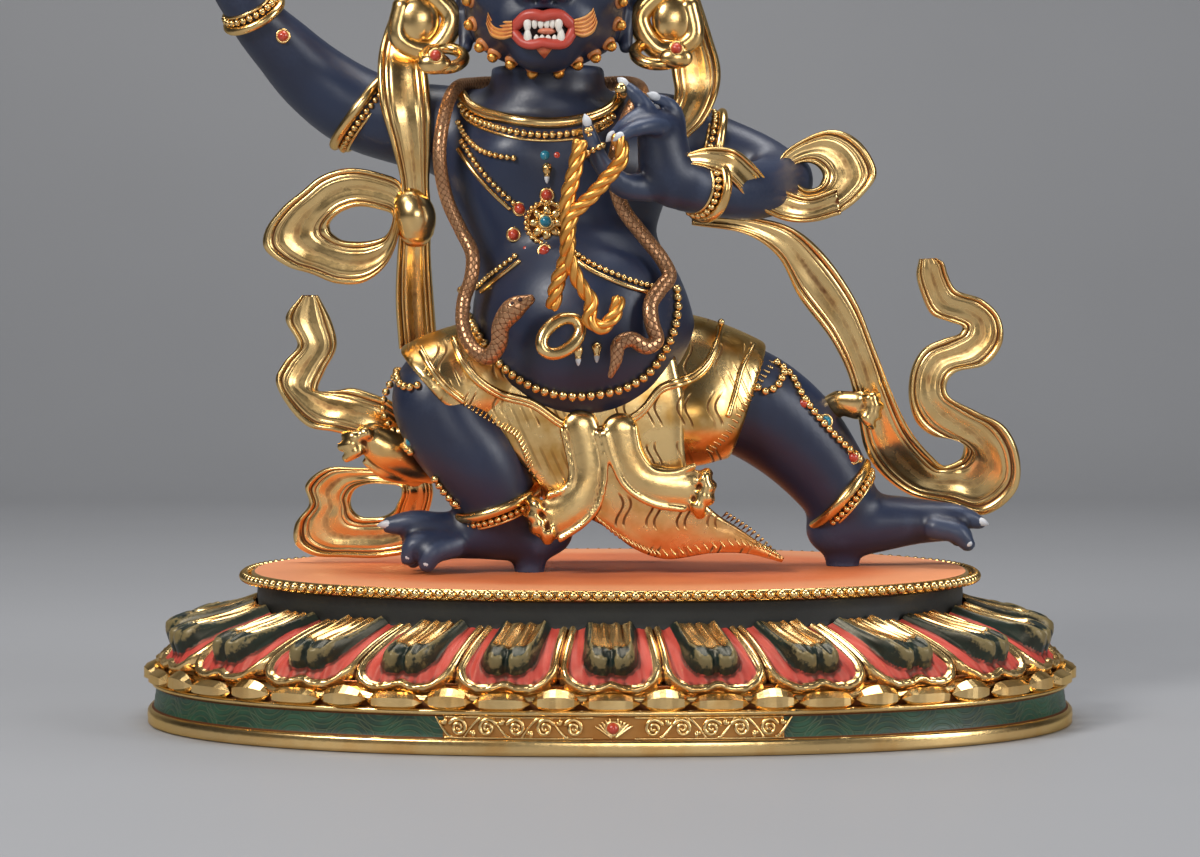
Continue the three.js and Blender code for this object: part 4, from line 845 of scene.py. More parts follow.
def plinth_panel():
    """The gilded panel at the front of the frieze: scrolling tendrils either side of a fan."""
    def on_frieze(u, z, lift):
        share = (np.asarray(u, float) + 0.6) / GIRTH
        return plinth_points(share, 0.066 + (np.asarray(z, float) - 3.4) * 0.006, z, lift)

    parts = []
    u = np.linspace(-35.4, 35.4, 160)
    for low, high, lift in ((3.45, 8.15, 0.16),):
        rows = [(low, -0.6), (low, lift), (low + 0.3, lift), (high - 0.3, lift), (high, lift), (high, -0.6)]
        rings = np.stack([on_frieze(u, np.full(160, z), np.full(160, d)) for z, d in rows], 1)
        piece("plinth_panel_ground", *skin(rings), PANEL_GROUND, "lotus_plinth", "gilding")
    for side in (-1, 1):
        for z in (3.75, 7.95):
            line = on_frieze(side * np.linspace(4.4, 35.0, 90), np.full(90, z), np.full(90, 0.3))
            parts.append(tube(line, 0.24, 6))
        for k in range(5):
            centre, flip = 8.2 + k * 6.0, (-1) ** k
            a = np.linspace(0, 3.7 * math.pi, 80)
            r = mix(2.0, 0.3, (a / a[-1]) ** 0.8)
            x, z = centre + r * np.cos(a + 0.4) * flip, 5.85 + r * np.sin(a + 0.4)
            parts.append(tube(on_frieze(side * x, z, np.full(80, 0.42)), mix(0.5, 0.3, a / a[-1]), 7))
            stem = np.linspace(0, 1, 20)
            parts.append(tube(on_frieze(side * (centre + 1.4 + stem * 3.4), 5.85 - flip * (1.9 - 3.9 * stem**1.4), np.full(20, 0.35)),
                              mix(0.46, 0.22, stem), 6))
            for turn in (0.5, 1.3):
                leaf = np.linspace(0, 1, 10)
                x = centre + 2.6 + leaf * 1.5 * math.cos(turn)
                parts.append(tube(on_frieze(side * x, 5.85 + flip * (0.6 + 1.5 * leaf * math.sin(turn)), np.full(10, 0.35)),
                                  0.5 * np.sin(leaf * 2.9 + 0.2) + 0.05, 6))
        for k in range(5):
            t = np.linspace(0, 1, 12)
            lean = (0.35 + k * 0.72)
            parts.append(tube(on_frieze(side * (0.5 + t * lean), 4.0 + t * (3.7 - k * 0.35), np.full(12, 0.4)), 0.3, 6))
    piece("plinth_panel", *gather(parts), GOLD, "lotus_plinth", "gilding", rounds=2)

# %% Paints of the plinth
def petal_paint():
    """Red field, dark scroll and gold edges, parted by the distances kept on the petals."""
    f = Finish("Lotus petals", specular_tint=(1.0, 0.88, 0.66, 1.0))
    edge, scroll = f.attribute("edge"), f.attribute("scroll")
    tongue, hollow = f.attribute("tongue"), f.attribute("hollow")
    cloud, grain, brush = f.noise(7, 4), f.noise(0.7, 3), f.noise(2.2, 2)
    wander = (brush - 0.5) * 0.5
    in_field = (edge + wander).ramp(1.65, 1.85)
    on_scroll = (scroll + wander * 0.4).ramp(-0.3, -0.15)
    on_tongue = (tongue + wander * 0.5).ramp(0.0, 0.16)
    gold_tone = f.blend((0.86, 0.6, 0.27), (0.6, 0.32, 0.1), cloud.ramp(0.4, 0.75))
    gold_tone = f.blend(gold_tone, (0.16, 0.05, 0.015), (hollow + (grain - 0.5) * 0.06).ramp(0.04, 0.2))
    red = f.blend((0.56, 0.072, 0.052), (0.4, 0.036, 0.028), cloud.ramp(0.35, 0.7) * 0.7)
    red = f.blend(red, (0.13, 0.02, 0.014), (hollow + (brush - 0.5) * 0.08).ramp(0.05, 0.22))
    green = f.blend((0.009, 0.022, 0.018), (0.006, 0.009, 0.008), cloud.ramp(0.3, 0.7))
    green = f.blend(green, (0.3, 0.22, 0.09), (hollow * -1.0 + (grain - 0.66) * 0.22).ramp(0.07, 0.16) * 0.6)
    worn = (hollow * -1.0 + (grain - 0.66) * 0.22).ramp(0.05, 0.12)
    colour = f.blend(gold_tone, f.blend(red, (0.62, 0.2, 0.08), worn * 0.5), in_field)
    colour = f.blend(colour, green, on_scroll)
    colour = f.blend(colour, gold_tone, on_tongue)
    metal = (1.0 - in_field) * (1.0 - on_scroll) + on_tongue * on_scroll
    return f.feed(
        base_color=colour,
        metallic=metal * 0.92,
        roughness=0.5 - metal * 0.27 + (grain - 0.5) * 0.16 - (on_scroll - on_tongue) * 0.14,
        normal=f.bump(grain * 0.5 + brush * 0.5, 0.035),
    )


def frieze_paint():
    """Green paint over groups of engraved crossing arcs, with gold showing where a cut is rubbed."""
    f = Finish("Green frieze")
    along = f.attribute("along")
    place = f.place()
    height = f.node("ShaderNodeSeparateXYZ", None, {"Vector": place}, out="Z") * 1000.0
    cloud, grain = f.noise(6, 4), f.noise(0.5, 3)

    def arcs(shift, way):
        u = (along + shift).sum("FLOORED_MODULO", along + shift, 13.0) - 6.5
        v = (height - 5.8) * way + 4.6
        far = (u * u + v * v).sum("SQRT", u * u + v * v)
        wave = (far * (2 * math.pi / 1.15)).sum("SINE", far * (2 * math.pi / 1.15))
        inside = 1.0 - (far).ramp(6.3, 6.5)
        return wave.ramp(0.35, 0.85) * inside

    up, down = arcs(0.0, 1.0), arcs(6.5, -1.0)
    cut = up.sum("MAXIMUM", up, down)
    green = f.blend((0.022, 0.075, 0.038), (0.011, 0.032, 0.02), cloud.ramp(0.35, 0.7))
    colour = f.blend(green, (0.1, 0.12, 0.06), cut * cloud * 0.7)
    return f.feed(
        base_color=colour,
        roughness=0.42 + (grain - 0.5) * 0.2,
        normal=f.bump(cut * -1.0 + grain * 0.15, 0.16),
    )


PETAL = petal_paint()
FRIEZE = frieze_paint()
WAIST = paint("Waist grey-green", (0.02, 0.021, 0.016), (0.011, 0.011, 0.009), (0.12, 0.1, 0.06), 0.5, 9, 0.8, 0.03)
TABLE_PAINT = paint("Top orange", (0.76, 0.2, 0.062), (0.56, 0.12, 0.035), (0.8, 0.4, 0.2), 0.55, 16, 0.8, 0.04)

PANEL_GROUND = gilding("Panel ground", (0.42, 0.2, 0.06), (0.1, 0.03, 0.01), roughness=0.45)

plinth_core()
plinth_petals()
plinth_pods()
plinth_panel()
strung("plinth_rim_beads", [ring_line(1.0, 31.8, 0.35)], 2.55, (1.2, 1.1, 1.15), GOLD, "lotus_plinth", "gilding")
print("plinth triangles:", {k: v for k, v in made.items() if k.startswith("plinth")})

# %% [markdown]
# The figure's skin is one clay body: trunk, belly, arms and legs pressed together softly, then fingers and
# toes with firmer joins. The stations are those of the frame's solid, so each limb lies where it is packed.

# %% Stations of the body
TRUNK = [
    [-13.6, -2, 143, 12.3, 0.95], [-13.4, -1, 137, 13.4, 0.92], [-11.5, 0, 132.6, 21, 0.66],
    [-11, 0, 127, 27, 0.62], [-11, -1, 121, 27, 0.66], [-11.4, -2, 113.5, 23.4, 0.72],
    [-10.6, -2, 105, 20.6, 0.8], [-8, -2, 97, 21, 0.9], [-5.6, -2, 86, 23.6, 0.85], [-4.4, -1, 74, 21, 0.8],
    [-4.2, 0, 66, 15, 0.8],
]
BELLY, BELLY_R = (-5.9, -6, 87.3), 23.2
RIGHT_ARM = [
    [-28, 2, 128, 10, 0.9], [-36.5, 3, 129.4, 9.8], [-46, 4, 131, 9.2], [-56, 5, 134.4, 9], [-65, 3, 140.6, 8.1],
    [-71.6, -1, 147.2, 6.9], [-76.4, -4, 152.4, 6], [-79.4, -6.5, 158, 5.8], [-81.5, -8, 163.5, 6.2],
]
LEFT_ARM_UPPER = [
    [2, 2, 127.5, 9.5, 0.9], [12, 3, 128.6, 8.8], [23, 3, 125.4, 7.3], [32, 1, 121.8, 6.8], [38, -4, 118.2, 6.2],
]
LEFT_FOREARM = [[37.4, -5, 117.8, 6.2], [31.8, -14, 115.8, 6.3], [24.6, -22, 115.6, 6], [17.4, -28, 116.4, 5.4]]
LEFT_PALM = [[17.5, -28, 116.6, 5.3, 0.9], [12.6, -31.5, 118.6, 6.4, 0.7], [10.6, -33.5, 126.5, 5.6, 0.6]]
RIGHT_LEG = [
    [-12, 2, 74, 12, 1], [-26, -5, 75.4, 11.6], [-37.4, -12.5, 71.4, 9.8], [-35, -13.5, 64.6, 9.8],
    [-29, -12, 57, 10], [-25, -10, 49.4, 8.6], [-24, -9, 44, 6.6],
]
LEFT_LEG = [
    [4, 2, 75, 12.4, 1], [17.6, 2, 73.4, 12.2], [29.8, 3.5, 69.6, 12], [38.7, 5, 63.8, 11.2],
    [45.6, 6, 56.6, 9.8], [51, 6.5, 48.6, 8.2], [52.8, 7, 43, 6.8],
]
RIGHT_FOOT = [
    [-16.8, -8, 39.6, 5.0, 1.1], [-24, -8.6, 40.8, 5.4, 1.15], [-32.5, -9, 40.8, 5.1, 1.2], [-41, -9, 40.4, 4.6, 1.3],
]
LEFT_FOOT = [[52.8, 7, 40.6, 6.2, 0.95], [60, 7, 42.2, 6.3, 1], [67, 7, 42.7, 5.3, 1.15], [75, 7, 42.6, 4.2, 1.35]]
LEFT_FINGERS = [
    [[9.4, -34, 128, 2.1], [7.6, -36.5, 132.2, 1.9], [5.4, -37, 135, 1.7], [2.6, -36.4, 137.6, 1.2]],
    [[14, -31, 126, 2.1], [13.8, -31.5, 131, 1.9], [12.2, -33, 133.4, 1.6], [8.9, -34, 134.9, 1.2]],
    [[10.6, -34, 129.4, 2.3], [6.3, -38, 130.6, 2], [3.1, -40, 128.9, 1.7], [0.3, -40.2, 126.3, 1.3]],
    [[12, -33.5, 128.4, 2.2], [8.6, -39.4, 128.6, 2], [5, -42.4, 127.8, 1.7], [1.8, -43, 126, 1.3]],
    [[8, -33, 116, 3.2], [2.6, -36.4, 116.4, 2.7], [-2, -38, 121, 2.1], [-3.8, -38, 125.4, 1.8], [-5, -38, 129.6, 1.2]],
]
RIGHT_TOES = [
    [[-36, -11, 42.6, 3.4], [-43.4, -12, 43.6, 2.9], [-48, -12, 43.2, 1.9]],
    [[-37, -14, 39.6, 2.8], [-42.2, -15.2, 39, 2.6], [-43.6, -15.4, 36.4, 2.0]],
    [[-36, -8, 38.4, 3], [-41.6, -8, 37.4, 2.6], [-43, -8, 35.2, 1.9]],
    [[-34.5, -4, 38.4, 2.8], [-39.6, -3.6, 37, 2.5], [-41, -3.6, 35, 1.7]],
    [[-34, -14, 39, 2.8], [-38.4, -16.6, 37.4, 2.5], [-39.6, -17, 35, 1.9]],
]
LEFT_TOES = [
    [[71, 5, 43.8, 3.3], [77.6, 4, 44, 2.6], [82, 4, 42.6, 1.7]],
    [[72, 1.5, 41.6, 2.7], [77, 0.6, 40.4, 2.4], [79, 0.6, 38, 1.8]],
    [[72, 8, 41.2, 2.8], [77.6, 8.4, 40.6, 2.5], [79.6, 8.4, 38.2, 1.8]],
    [[71.6, 11.5, 41, 2.6], [76.4, 12.4, 40, 2.3], [78.2, 12.4, 38, 1.7]],
]
FIST = np.array([-83, -13, 168.5])
VAJRA_WAY = unit(np.array([0.83, 0, 0.56]))


def fist_fingers():
    """Four fingers closed round the vajra, and the thumb across them."""
    toward = np.array([0, -1.0, 0])
    up = -np.cross(toward, VAJRA_WAY)
    fingers = []
    for i in range(4):
        centre = FIST + VAJRA_WAY * (i - 1.5) * 3.4
        wrap = [centre + up * 4 * math.cos(a) + toward * 4 * math.sin(a) for a in (-0.7, 0.3, 1.3, 2.3, 3.2)]
        fingers.append([[*p, 1.5 if k == 4 else 1.9] for k, p in enumerate(wrap)])
    return fingers + [[[-77.5, -9, 162, 2.6], [-76.6, -15, 165, 2.2], [-79.5, -19, 168.5, 1.5]]]


# %% Press the body together
def body_clay():
    clay = Clay((-97, -48, 32), (88, 30, 182), 0.8)
    clay.stack(TRUNK)
    clay.ball(BELLY, (BELLY_R, BELLY_R, BELLY_R * 0.98), 4)
    for limb, blend in ((RIGHT_ARM, 4), (LEFT_ARM_UPPER, 4), (RIGHT_LEG, 3), (LEFT_LEG, 3)):
        clay.limb(limb, blend)
    clay.limb(LEFT_FOREARM, 2)
    clay.limb(LEFT_PALM, 2)
    clay.limb([[-80, -6, 160, 5.8], [-83.4, -8, 168, 7.2, 0.6]], 2)
    clay.limb(RIGHT_FOOT, 3)
    clay.limb(LEFT_FOOT, 3)
    clay.ball((-13.4, -6.4, 41.6), (5.4, 5.4, 5.4), 2)
    clay.ball((50, 6.4, 41), (6.4, 6, 5.8), 2)
    clay.ball((-18.6, -13, 124), (9, 6, 6), 4)
    clay.ball((-6, -13, 124), (9, 6, 6), 4)
    clay.limb([[-17.6, -8, 38.4, 3.8, 1.1], [-17.6, -8, 33.4, 3.4, 1.1]], 1)
    clay.limb([[51.6, 7, 38, 4.2], [51.8, 7, 33.4, 3.8]], 1)
    for finger in LEFT_FINGERS + fist_fingers():
        clay.limb(finger, 0.7)
    for toe in RIGHT_TOES + LEFT_TOES:
        clay.limb(toe, 1.0)
    return clay.skinned()


body_points, body_faces = body_clay()
piece("body_skin", body_points, body_faces, BLUE, "figure", "body_paint")
print("body triangles:", made["body_skin"])

# %% [markdown]
# Ornaments lie on the body. They are placed by their pixel in the photograph: a straight look through that
# pixel is followed to the body, seen from any side they then rest on it. Only a few dozen such numbers
# are needed, since curves are drawn between them.

# %% Looking through a pixel
from mathutils import Vector
from mathutils.bvhtree import BVHTree


class Ground:
    """What the ornaments rest on."""

    def __init__(self, *bodies):
        self.tree = BVHTree.FromPolygons(*[x.tolist() if hasattr(x, "tolist") else x for x in gather(bodies)])

    def front(self, x, z):
        hit, normal, _, _ = self.tree.ray_cast(Vector((x, -120, z)), Vector((0, 1, 0)))
        return (-10.0, np.array([0, -1.0, 0])) if hit is None else (hit.y, np.array(normal))

    def nearest(self, point):
        place, normal, _, _ = self.tree.find_nearest(Vector(point))
        return np.array(place), np.array(normal)

    def pixel(self, px, py, lift=0.0):
        y = -20.0
        for _ in range(4):
            x, z = at_pixel(px, py, y)[[0, 2]]
            y, normal = self.front(x, z)
        return np.array([x, y, z]) + normal * lift, normal

    def line(self, pixels, steps, lift=0.0):
        """A line over the body through pixels, and the way the body faces along it."""
        spots = [self.pixel(px, py, lift) for px, py in spline(np.array(pixels, float), steps)]
        points = np.array([s[0] for s in spots])
        for _ in range(2):
            points[1:-1] = (points[:-2] + 2 * points[1:-1] + points[2:]) / 4
        return points, unit(np.array([s[1] for s in spots]))


def at_pixel(px, py, y):
    """The place in mm that a pixel of the photograph shows at a depth y."""
    scale = 0.22 * (1 + y / 772)
    return np.array([(px - 610) * scale, y, 100.35 - (py - 262) * scale])


# %% Head
SKULL = [
    [-14, -9, 142.6, 7, 0.8], [-14, -9, 146, 13.4, 0.9], [-14, -8.6, 151, 16.4, 0.98], [-14, -8, 157, 17.2, 1],
    [-14, -7.4, 164, 17, 1], [-14, -6.6, 170, 15.6, 1], [-14, -5, 176, 11, 1],
]
HEAD = np.array([-14.0, -8.0, 156.0])
MOUTH_X, MOUTH_Z = -14.0, 150.6


def head_clay():
    clay = Clay((-36, -34, 134), (8, 14, 184), 0.42)
    clay.stack(SKULL)
    clay.ball((MOUTH_X, -20.6, 150.6), (10.4, 4.6, 6.4), 3)
    clay.ball((-14, -18.6, 144.4), (6.5, 4.5, 3.6), 3)
    clay.limb([[-14, -23.4, 166, 1.9], [-14, -25.2, 161.6, 2.6], [-14, -26.2, 158.4, 3.2, 0.9]], 1.5)
    for s in (-1, 1):
        clay.ball((-14 + s * 3.6, -24.6, 157.2), (2.3, 2.3, 2.1), 0.8)
        clay.ball((-14 + s * 10.2, -19.2, 157.4), (5, 3.8, 4.2), 2)
        clay.ball((-14 + s * 6.8, -21.6, 163.4), (4.9, 2.4, 3.9), 1)
        clay.ball((-14 + s * 6.8, -23.6, 163.4), (3.6, 2.8, 2.5), 0.4, "cut")
        clay.limb([[-14 + s * 16.2, -3, 163, 2.4, 0.8], [-14 + s * 17.6, -4.6, 157, 2.6, 0.8],
                   [-14 + s * 17.2, -6, 150.4, 1.9, 0.9], [-14 + s * 17.4, -7.2, 147, 1.5]], 1)
        clay.ball((-14 + s * 18.6, -7.4, 158.6), (1.6, 2.4, 3.6), 0.6, "cut")
        clay.ball((-14 + s * 2.1, -26.6, 155.5), (1.05, 1.6, 0.8), 0.3, "cut")
        clay.ball((MOUTH_X + s * 4.4, -26, MOUTH_Z - 0.2), (2.8, 4.4, 1.7), 0.4, "cut")
    clay.ball((-14, -23, 169), (2.8, 2.2, 3.6), 1)
    clay.ball((-14, -25, 169), (1.5, 1.8, 2.4), 0.3, "cut")
    clay.ball((MOUTH_X, -26, MOUTH_Z), (5.4, 5.6, 3.5), 0.4, "cut")
    return clay.skinned()


head_points, head_faces = head_clay()
piece("head_skin", head_points, head_faces, BLUE, "figure", "body_paint")
face_ground = Ground((head_points, head_faces))


def on_mouth(px, py, depth=0.0):
    """A place on the curve of the mouth, a little deeper if wanted."""
    x, _, z = at_pixel(px, py, -24.5)
    return np.array([x, -25.6 + depth + 0.045 * (x - MOUTH_X) ** 2, z])


def mouth():
    outline = [
        (513, 31.5), (518.5, 24), (526, 17.5), (535, 16.4), (543, 18), (551, 16.2), (560, 16.8), (567, 22), (572.6, 29),
        (569.5, 38), (563.5, 44.8), (553, 45.6), (543, 44.2), (532, 46), (523, 43.6), (517.5, 38),
    ]
    path = spline([on_mouth(x, y) for x, y in outline], 90, closed=True)
    upper = (path[:, 2] > MOUTH_Z).astype(float)
    piece("lips", *tube(path, 1.12 + 0.12 * upper, 12, closed=True, squash=0.9), LIP_RED, "figure", "body_paint")
    gums = []
    for y, bend in ((19.6, 0.0), (44.2, 0.0)):
        line = spline([on_mouth(x, y + bend, 1.0) for x in (524, 534, 543, 553, 563)], 24)
        gums.append(tube(line, 0.95, 8))
    piece("gums", *gather(gums), LIP_RED, "figure", "body_paint")
    back = ball((MOUTH_X, -21.4, MOUTH_Z), (7.2, 1.6, 4.4), 12, 24)
    piece("mouth_dark", *back, DARK, "figure", "body_paint")
    teeth = []
    for x in (534.7, 540.8, 546.7, 552.2):
        teeth.append(turned(on_mouth(x, 19.5, 0.5), (0, -0.1, -1), [[0.5, 0], [0.66, 0.7], [0.62, 1.7], [0.35, 2.2], [0.05, 2.35]], 12))
    for x in (536.4, 542, 548, 554.4):
        teeth.append(turned(on_mouth(x, 44.6, 0.5), (0, -0.1, 1), [[0.5, 0], [0.62, 0.6], [0.58, 1.3], [0.3, 1.7], [0.05, 1.85]], 12))
    for x, y, way in ((527.4, 19, -1), (558.6, 19, -1), (527.6, 45, 1), (561, 45, 1)):
        fang = [[0.7, 0], [0.9, 0.8], [0.84, 1.8], [0.55, 2.7], [0.2, 3.3], [0.05, 3.5]]
        teeth.append(turned(on_mouth(x, y, 0.2), (0, -0.12, way), fang, 12))
    piece("teeth", *gather(teeth), TEETH, "figure", "body_paint")
    piece("tongue", *ball(on_mouth(546.5, 32.5, 1.6), (2.0, 2.2, 0.8), 12, 20), TONGUE, "figure", "body_paint")


def beard_and_moustache():
    wings = []
    left = [(512, 22, 512, 38.5), (506, 21.6, 504, 41), (499, 20.6, 497, 40.4), (492.6, 15.4, 491, 37), (488.6, 9.6, 486.4, 26)]
    right = [(574, 20.6, 575, 36), (580, 18.6, 581, 38.6), (586, 16, 587, 38), (591.6, 11, 594, 33), (593, 8.6, 597.4, 24)]
    for rows in (left, right):
        placed = []
        for x1, y1, x2, y2 in rows:
            a, _ = face_ground.pixel(x1, y1)
            b, _ = face_ground.pixel(x2, y2)
            placed.append([a[0], a[2], b[0], b[2], (a[1] + b[1]) / 2])
        combed = [(t, 0.55 + 0.45 * abs(math.sin(t * math.pi * 5))) for t in np.linspace(0.04, 0.96, 36)]
        wings.append(ribbon(placed, [(0, 0.2)] + combed + [(1, 0.2)], 40, front=1.0, back=1.2))
    piece("moustache", *gather(wings), MOUSTACHE, "figure", "body_paint", rounds=5)
    knobs, tips = [], []
    for px, py in (
        (471, 2), (470.4, 26), (476, 51), (489, 63), (510, 66), (533, 68), (558, 66), (578, 66), (598, 61), (614, 49),
        (619, 26), (617, 3),
    ):
        x, _, z = at_pixel(px, py, -14)
        near = HEAD + (np.array([x, -15.0, z]) - HEAD) * 0.95
        place, normal = face_ground.nearest(near)
        out = unit(normal + np.array([0, -0.35, -0.12]))
        knobs.append(turned(place - out * 0.8, out, [[1.1, 0], [1.6, 0.7], [1.62, 1.2], [1.3, 1.7], [0.05, 1.9]], 14))
        tips.append(turned(place + out * 0.6, out, [[0.9, 0], [1.2, 0.5], [1.22, 0.9], [0.95, 1.4], [0.5, 1.75], [0.05, 1.85]], 14))
    tuft = spline([[*on_mouth(544, 49, 0.9), 1.9], [*on_mouth(544, 53, 0.9), 1.3], [*on_mouth(544, 58.6, 1.8), 0.25]], 12)
    knobs.append(tube(tuft[:, :3], tuft[:, 3], 12, squash=0.6))
    piece("beard_knobs", *gather(knobs), BEARD, "figure", "body_paint", rounds=1)
    piece("beard_tips", *gather(tips), ROPE_GOLD, "figure", "gilding", rounds=1)


def eyes():
    whites, irises, rims, brows = [], [], [], []
    for x, y, z, wide, high in ((-20.8, -22.2, 163.4, 3.1, 2.3), (-7.2, -22.2, 163.4, 3.1, 2.3), (-14, -23.8, 169, 1.3, 2.1)):
        whites.append(ball((x, y, z), (wide, 2.2, high), 14, 20))
        irises.append(ball((x, y - 1.3, z), (1.25, 1.15, 1.25), 12, 16))
        rims.append(hoop((x, y - 1.1, z), (0, -1, 0), wide, high, 0.36, 40, 8))
    for s in (-1, 1):
        for k, (reach, rise) in enumerate(((12.4, 168.4), (13.6, 170.8), (11.6, 172.6))):
            line = spline([
                [-14 + s * 2.6, -24.4, 166.8, 0.6], [-14 + s * 6, -24, 168.6 + k * 0.5, 1.2],
                [-14 + s * 9.6, -21.6, rise, 1.0], [-14 + s * reach, -17.6, rise + 1.6 + k, 0.2],
            ], 26)
            brows.append(tube(line[:, :3], line[:, 3], 8))
    piece("eye_whites", *gather(whites), TEETH, "figure", "body_paint")
    piece("eye_irises", *gather(irises), DARK, "figure", "body_paint")
    piece("eye_rims", *gather(rims), LIP_RED, "figure", "body_paint")
    piece("brows", *gather(brows), HAIR, "figure", "body_paint")

# %% [markdown]
# The tiger skin wraps both thighs, hangs between the knees and ends in clawed paws. It is clay again: two
# thick wraps trimmed along their hems, a hanging sheet, and paws pressed on.

# %% Tiger skin
RIGHT_WRAP = [[-8, 1, 74, 16.4, 1], [-26, -5, 75, 13.2, 1], [-40, -13, 71.6, 11.4, 1], [-46, -16, 66, 9, 1]]
LEFT_WRAP = [[4, 1, 75, 15.4, 1], [17, 1.6, 74, 14.6, 1], [29.6, 3, 70, 13.2, 1], [41, 5, 62, 12.6, 1]]
HANG = [
    [-38, 76.6, 14, 80, -15.6], [-29.4, 67, 16, 70, -16.2], [-20.6, 58.6, 16, 61, -15.8], [-11.6, 48.6, 17, 55, -15],
    [-1, 43, 20, 52, -14.4], [5, 38.4, 21, 48, -14], [12, 36, 23.4, 45.6, -13.4], [22, 37.2, 27.4, 43, -12.8],
    [30, 37, 32, 39.8, -12.2], [37.2, 35.2, 37.8, 36.2, -12],
]
HANG_BEHIND = [[-30, 76, 20, 78, 17], [-25, 62, 24, 64, 19], [-18, 50, 18, 52, 20], [-12, 44, 12, 45, 20]]
RIGHT_HEM = (np.array([-31.5, 0, 65]), np.array([math.cos(0.72), 0, math.sin(0.72)]))
LEFT_HEM = (np.array([30, 0, 68]), np.array([math.cos(2.8208), 0, math.sin(2.8208)]))


def wrap_points(stations, hem, swell=None, cell=0.6):
    rows = np.array(stations, float)
    low = (rows[:, :3] - rows[:, 3:4] - 5).min(0)
    high = (rows[:, :3] + rows[:, 3:4] + 4).max(0)
    clay = Clay(low, high, cell)
    clay.limb(stations, 0)
    if swell:
        clay.ball(*swell, 4)
    place, way = hem
    clay.change(low, high, lambda p: ((p - place.astype(np.float32)) @ way.astype(np.float32)), "cut", 1.0)
    points, faces = clay.skinned()
    return points, faces, (points - place) @ way


def ribbon(rows, profile, steps, closed=False, front=1.5, back=1.1, puff=0.0):
    """A ribbon between two edges [x1, z1, x2, z2, y]; the profile gives [across, height] of its face."""
    rows = np.array(rows, float)
    left = spline(rows[:, [0, 4, 1]], steps, closed)
    right = spline(rows[:, [2, 4, 3]], steps, closed)
    ahead, _, _ = frames_along((left + right) / 2, closed)
    t = np.array([p[0] for p in profile])[None, :, None]
    high = np.array([p[1] for p in profile])[None, :, None]
    across = right - left
    face = left[:, None] + across[:, None] * t
    forward = np.array([0, -1.0, 0])
    face = face + forward * (front * high + puff * (1 - (2 * t - 1) ** 2))
    tb = np.array([1.0, 0.8, 0.5, 0.2, 0.0])[None, :, None]
    hb = np.array([0.35, 0.95, 1.0, 0.95, 0.35])[None, :, None]
    rear = left[:, None] + across[:, None] * tb - forward * back * hb + forward * puff * (1 - (2 * tb - 1) ** 2) * 0.6
    return skin(np.concatenate([face, rear], 1), closed)


def mirrored(half):
    return half + [(1 - t, h) for t, h in half[::-1]]


RIMMED = mirrored([
    (0, 0.35), (0.025, 0.8), (0.06, 1.0), (0.1, 0.95), (0.13, 0.7), (0.15, 0.5), (0.18, 0.72), (0.21, 0.76),
    (0.235, 0.5), (0.26, 0.62), (0.33, 0.58), (0.41, 0.5), (0.47, 0.44),
])
SHEET = mirrored([(0, 0.3), (0.03, 0.7), (0.08, 0.85), (0.14, 0.8), (0.2, 0.9), (0.3, 0.95), (0.4, 1.0), (0.48, 1.0)])


def fur(ground):
    """Short slanted strokes of fur along the hems and the tail."""
    strokes = []
    for pixels, count, slant, lift in (
        ([(424, 371), (445, 391), (462, 404), (480, 416), (500, 428), (515, 437), (524, 455), (530, 475)], 34, (4, -6), 0.1),
        ([(600, 522), (620, 538), (640, 549), (660, 556), (700, 552), (740, 546), (765, 550), (778, 556)], 36, (-5, -7), 0.1),
        ([(716, 507), (735, 518), (755, 532), (775, 551)], 16, (-6, 5), 0.1),
        ([(775, 364), (760, 385), (745, 408), (730, 434), (712, 452)], 20, (-6, -3), 0.1),
    ):
        for px, py in spline(np.array(pixels, float), count):
            t = np.linspace(0, 1, 5)[:, None]
            line = [ground.pixel(px + slant[0] * k, py + slant[1] * k, lift)[0] for k in t[:, 0]]
            if np.ptp(np.array(line)[:, 1]) < 4:
                strokes.append(tube(line, 0.3 * (1.15 - t[:, 0]), 6))
    return strokes


